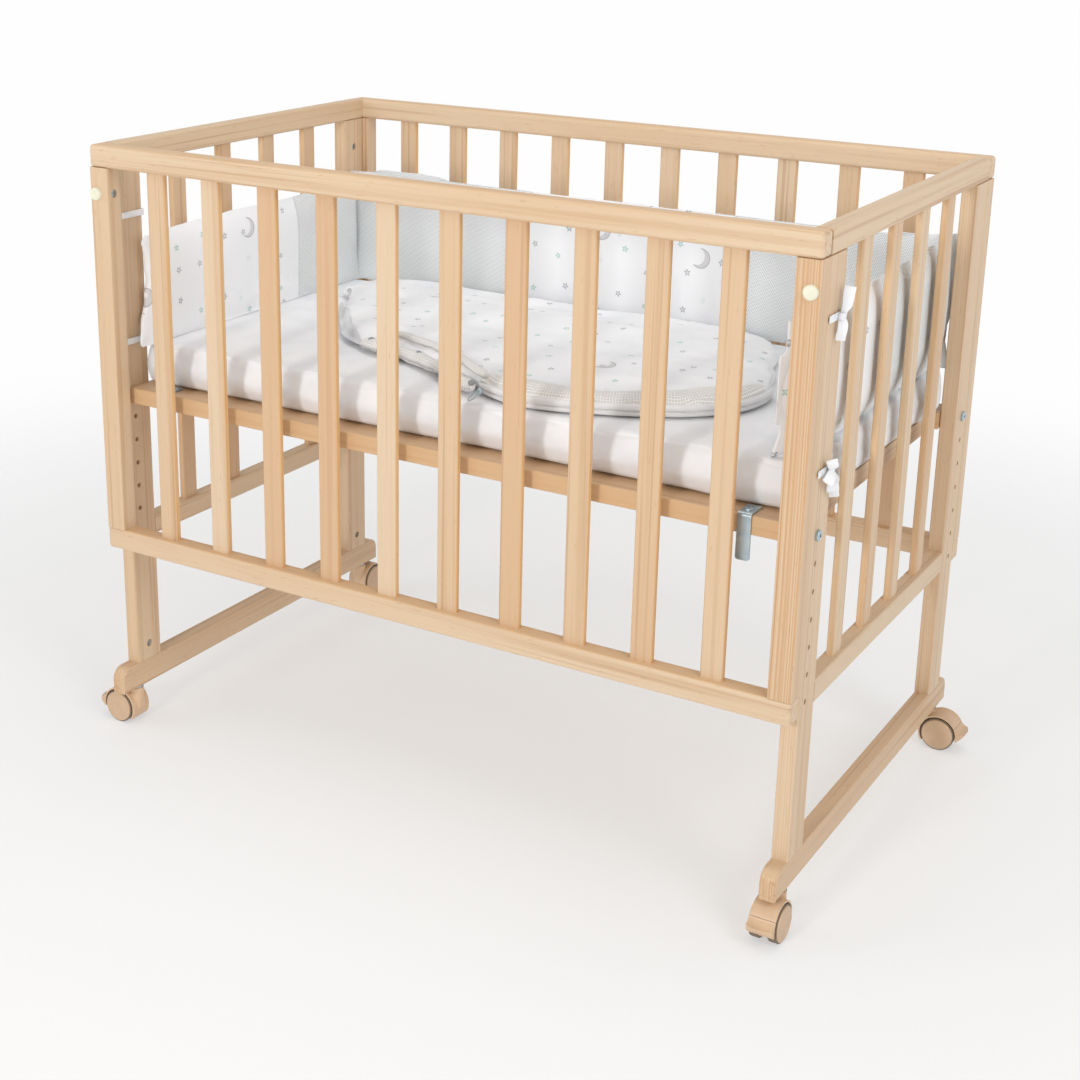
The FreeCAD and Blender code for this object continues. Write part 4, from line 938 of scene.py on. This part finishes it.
def tape(path, across, width, pinch=()):
    """A strip of ribbon along a path, as vertices and faces; across gives the direction of its width.

    pinch names the ends, 0 and 1, where the ribbon is gathered by the knot.
    """
    line = smooth_line(path, 5)
    across = np.array(across, float) / np.linalg.norm(across)
    verts = []
    for i, point in enumerate(line):
        share = i / (len(line) - 1)
        narrow = 1.0
        for end in pinch:
            narrow = min(narrow, 0.42 + 0.58 * math.sin(math.pi / 2 * min(1.0, abs(share - end) / 0.35)))
        ruck = noise.noise(Vector((share * 5, width * 900, point[2] * 40))) * 0.0008
        for j in range(TAPE_POINTS):
            fold = math.cos(math.pi * (j - 2) * 0.9) * 0.0006 * (1.6 - narrow) + ruck
            aside = across * width * narrow * (j / (TAPE_POINTS - 1) - 0.5)
            verts.append(tuple(point + aside + np.array((fold, 0, 0))))
    return verts, grid_faces(len(line), TAPE_POINTS)


def bow(z, knot_y, loops, tails):
    """The ribbon round a right-hand leg with its knot, loops and tails on the leg's outer face."""
    lower, upper = low("leg_front_right"), high("leg_front_right")
    inner_x, outer_x = lower.x - LEG_GAP, upper.x + LEG_GAP
    joint_y, back_y = lower.y + 0.0006, upper.y + LEG_GAP
    corner = 0.0014
    round_leg = [
        (inner_x, joint_y, z), (inner_x, knot_y, z), (inner_x, back_y - corner, z), (inner_x + corner, back_y, z),
        ((inner_x + outer_x) / 2, back_y + 0.0002, z), (outer_x - corner, back_y, z), (outer_x, back_y - corner, z),
        (outer_x + 0.0004, knot_y, z), (outer_x, joint_y, z)]
    strips = [tape(round_leg, (0, 0, 1), WRAP_WIDTH)]
    for index, (dy, dz, tilt) in enumerate(loops + tails):
        length = math.hypot(dy, dz)
        way = np.array((0, dy / length, dz / length))
        lean = math.radians(tilt)
        side = np.array((0, abs(way[2]), -way[1] * math.copysign(1, way[2])))
        across = math.cos(lean) * side + np.array((math.sin(lean), 0, 0))
        outward = np.cross(way, across)
        outward *= math.copysign(1, outward[0])
        stand = RIBBON_WIDTH / 2 * math.sin(lean)
        start = np.array((outer_x + 0.0030, knot_y, z))

        def at(share, lift):
            away = math.sin(math.pi / 2 * min(1.0, share / 0.4)) * max(0.0, stand - 0.0022)
            return start + way * length * share + outward * lift + np.array((away, 0, 0))

        if index < len(loops):
            path = [at(0.05, 0.0012), at(0.35, 0.0036), at(0.75, 0.0044), at(1.0, 0.0026), at(0.88, 0.0004),
                    at(0.45, -0.0010), at(0.05, -0.0006)]
            strips.append(tape(path, across, RIBBON_WIDTH, (0, 1)))
        else:
            path = [at(0.05, 0.0008), at(0.3, 0.0020), at(0.65, 0.0004), at(1.0, -0.0006)]
            strips.append(tape(path, across, RIBBON_WIDTH * 0.9, (0,)))
    knot = []
    for i in range(11):
        angle = 2 * math.pi * i / 9
        knot.append((outer_x + 0.0040 + 0.0034 * math.cos(angle), knot_y + 0.0046 * math.sin(angle), z))
    strips.append(tape(knot, (0, 0.25, 1), KNOT_WIDTH))
    return strips


def make_ribbons():
    strips = bow(*UPPER_BOW) + bow(*LOWER_BOW)
    verts, faces = [], []
    for side in (1, -1):
        for strip_verts, strip_faces in strips:
            base = len(verts)
            verts += [(side * x, y, z) for x, y, z in strip_verts]
            faces += [tuple(base + i for i in face[::side]) for face in strip_faces]
    piece = new_object("bumper_ribbons", new_mesh("bumper_ribbons", verts, faces))
    thicken(piece, 0.0008)
    piece.data.materials.append(cotton("ribbon_cotton", (Y, Z), density=1.25))
    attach(piece, "mattress_base")
    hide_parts("bumper_ties")


# ---- Building the scene ----

# Area lights: name, place, the place they look at, size in metres, power in watts
LIGHTS = (
    ("key", (0.0, -3.0, 1.35), (0.0, 0.0, 0.5), 0.35, 26.0),
    ("left", (-2.6, -1.8, 2.4), (0.0, 0.0, 0.5), 1.6, 14.0),
    ("right", (2.7, -1.3, 2.5), (0.0, 0.0, 0.5), 1.3, 30.0),
    ("top", (0.1, 0.3, 3.2), (0.0, 0.0, 0.4), 2.2, 26.0),
)

# The surroundings are white at the horizon and dimmer above
SKY_RANGE = {"From Min": 0.05, "From Max": 0.5, "To Min": 0.99, "To Max": 0.42}

FLOOR_SIZE = 12.0
FLOOR_FADE = (2.1, 0.8)  # metres from the middle where the floor is gone, and where it is full
FLOOR_ALPHA = 0.55

wheel_materials = {}  # one for each caster


def dress_frame():
    """Gives every rigid CAD node its material."""
    metal = zinc()
    hood = moulded_plastic("caster_hood", srgb(216, 183, 149))
    cap = moulded_plastic("cap_plastic", srgb(230, 228, 204), 0.36)
    rail_x = wood("rail_wood_x", X, 1.0, edge_and_bounce_axis=Z, tone=0.25, edge_and_bounce_strength=0.3)
    rail_y = wood("rail_wood_y", Y, 2.0, tone=0.3)
    foot = wood("foot_rail_wood", Y, 9.0, layers=(X, Y, 0.45), tone=0.5)
    leg = wood("leg_wood", Z, 3.0, layers=(X, Y, 0.22), tone=0.35)
    post = wood("post_wood", Z, 6.0, layers=(X, Y, 0.08), tone=0.3)
    ply = wood("layered_post_wood", Z, 4.0, layers=(X, Y, 0.58), tone=0.6)
    slat = wood("slat_wood", Z, 5.0, boards=(X, FRONT_SLAT_PITCH, Y), edge_and_bounce_axis=X)
    end_slat = wood("end_slat_wood", Z, 7.0, boards=(Y, END_SLAT_PITCH, X), edge_and_bounce_axis=Y, edge_and_bounce_strength=0.28)
    base = wood("base_wood_x", X, 8.0, edge_and_bounce_axis=Y, tone=0.7, edge_and_bounce_strength=0.35)
    # The first rule with a word that is in the node's name holds
    rules = (
        (("_axle", "bolts", "nuts", "screws", "stems", "brackets"), metal),
        (("bolt_caps",), cap),
        (("caster_",), hood),
        (("front_slats", "back_slats"), slat),
        (("end_slats",), end_slat),
        (("leg_",), leg),
        (("front_post_right",), ply),
        (("post", "panel_pins"), post),
        (("foot_rail",), foot),
        (("end_", "base_slats"), rail_y),
        (("base_",), base),
        (("",), rail_x),
    )
    for name, node in nodes.items():
        if "_wheel_" in name:
            material = wheel_material(name)
        else:
            material = next(look for words, look in rules if any(word in name for word in words))
        node.data.materials.clear()
        node.data.materials.append(material)


def wheel_material(name):
    caster = name[:len("caster_fl")]
    if caster not in wheel_materials:
        first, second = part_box(caster + "_wheel_a"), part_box(caster + "_wheel_b")
        lowest = Vector(map(min, first[0], second[0]))
        highest = Vector(map(max, first[1], second[1]))
        size = highest - lowest
        axis = X if abs(size.x - size.z) > 0.001 else Y
        wheel_materials[caster] = wheel_plastic(caster + "_plastic", (lowest + highest) / 2, axis)
    return wheel_materials[caster]


def make_studio():
    scene = bpy.context.scene
    scene.view_settings.view_transform = "Standard"
    world = bpy.data.worlds.new("studio")
    scene.world = world
    world.use_nodes = True
    tree = world.node_tree
    direction = tree.nodes.new("ShaderNodeTexCoord")
    split = tree.nodes.new("ShaderNodeSeparateXYZ")
    height = tree.nodes.new("ShaderNodeMapRange")
    height.interpolation_type = "SMOOTHSTEP"
    for key, value in SKY_RANGE.items():
        height.inputs[key].default_value = value
    tree.links.new(direction.outputs["Generated"], split.inputs[0])
    tree.links.new(split.outputs[2], height.inputs["Value"])
    tree.links.new(height.outputs[0], tree.nodes["Background"].inputs[1])
    tree.nodes["Background"].inputs[0].default_value = (1.0, 1.0, 1.0, 1.0)
    bpy.ops.mesh.primitive_plane_add(size=FLOOR_SIZE)
    floor = bpy.context.object
    floor.name = "studio_floor"
    floor.data.materials.append(floor_material())
    for name, place, aim, size, power in LIGHTS:
        data = bpy.data.lights.new(name, "AREA")
        data.size = size
        data.energy = power
        lamp = bpy.data.objects.new(name, data)
        lamp.location = place
        lamp.rotation_euler = (Vector(aim) - Vector(place)).to_track_quat("-Z", "Y").to_euler()
        scene.collection.objects.link(lamp)


def floor_material():
    """A pale sheet of studio paper that fades into the white surroundings."""
    s = Shader("studio_paper", 0.9, 0.1)
    radius = s.vector_math("LENGTH", s.place).outputs["Value"]
    tooth = s.noise(s.place, 400.0, 2.0)
    s.surface(Base_Color=s.ramp(tooth, (0.2, (0.86, 0.86, 0.86)), (0.8, (0.89, 0.89, 0.89))))
    s.surface(Normal=s.bump(tooth, 0.0001), Alpha=s.math("MULTIPLY", s.step(radius, *FLOOR_FADE), FLOOR_ALPHA))
    return s.material


def make_camera():
    yaw, pitch, roll = (math.radians(a) for a in (CAMERA_YAW, CAMERA_PITCH, CAMERA_ROLL))
    forward = Vector((-math.sin(yaw) * math.cos(pitch), math.cos(yaw) * math.cos(pitch), -math.sin(pitch)))
    level = Vector((math.cos(yaw), math.sin(yaw), 0))
    up = level.cross(forward)
    right = math.cos(roll) * level + math.sin(roll) * up
    above = -math.sin(roll) * level + math.cos(roll) * up
    data = bpy.data.cameras.new("camera")
    data.lens = CAMERA_LENS
    data.shift_x, data.shift_y = CAMERA_SHIFT
    camera = bpy.data.objects.new("camera", data)
    camera.matrix_world = Matrix.Translation(CAMERA_PLACE) @ Matrix((right, above, -forward)).transposed().to_4x4()
    bpy.context.scene.collection.objects.link(camera)
    bpy.context.scene.camera = camera


make_camera()
make_studio()
dress_frame()
make_mattress()
make_bumper("left", mesh_and_cotton("bumper_left_fabric", (Y, Z), (-0.5, 0.08)), 1.0)
make_bumper("back", mesh_and_cotton("bumper_back_fabric", (X, Z), (-0.15, 0.16)), 2.0)
make_bumper("right", mesh_and_cotton("bumper_right_fabric", (Y, Z), (-0.5, -0.02)), 3.0)
make_sleeping_bag()
make_ribbons()
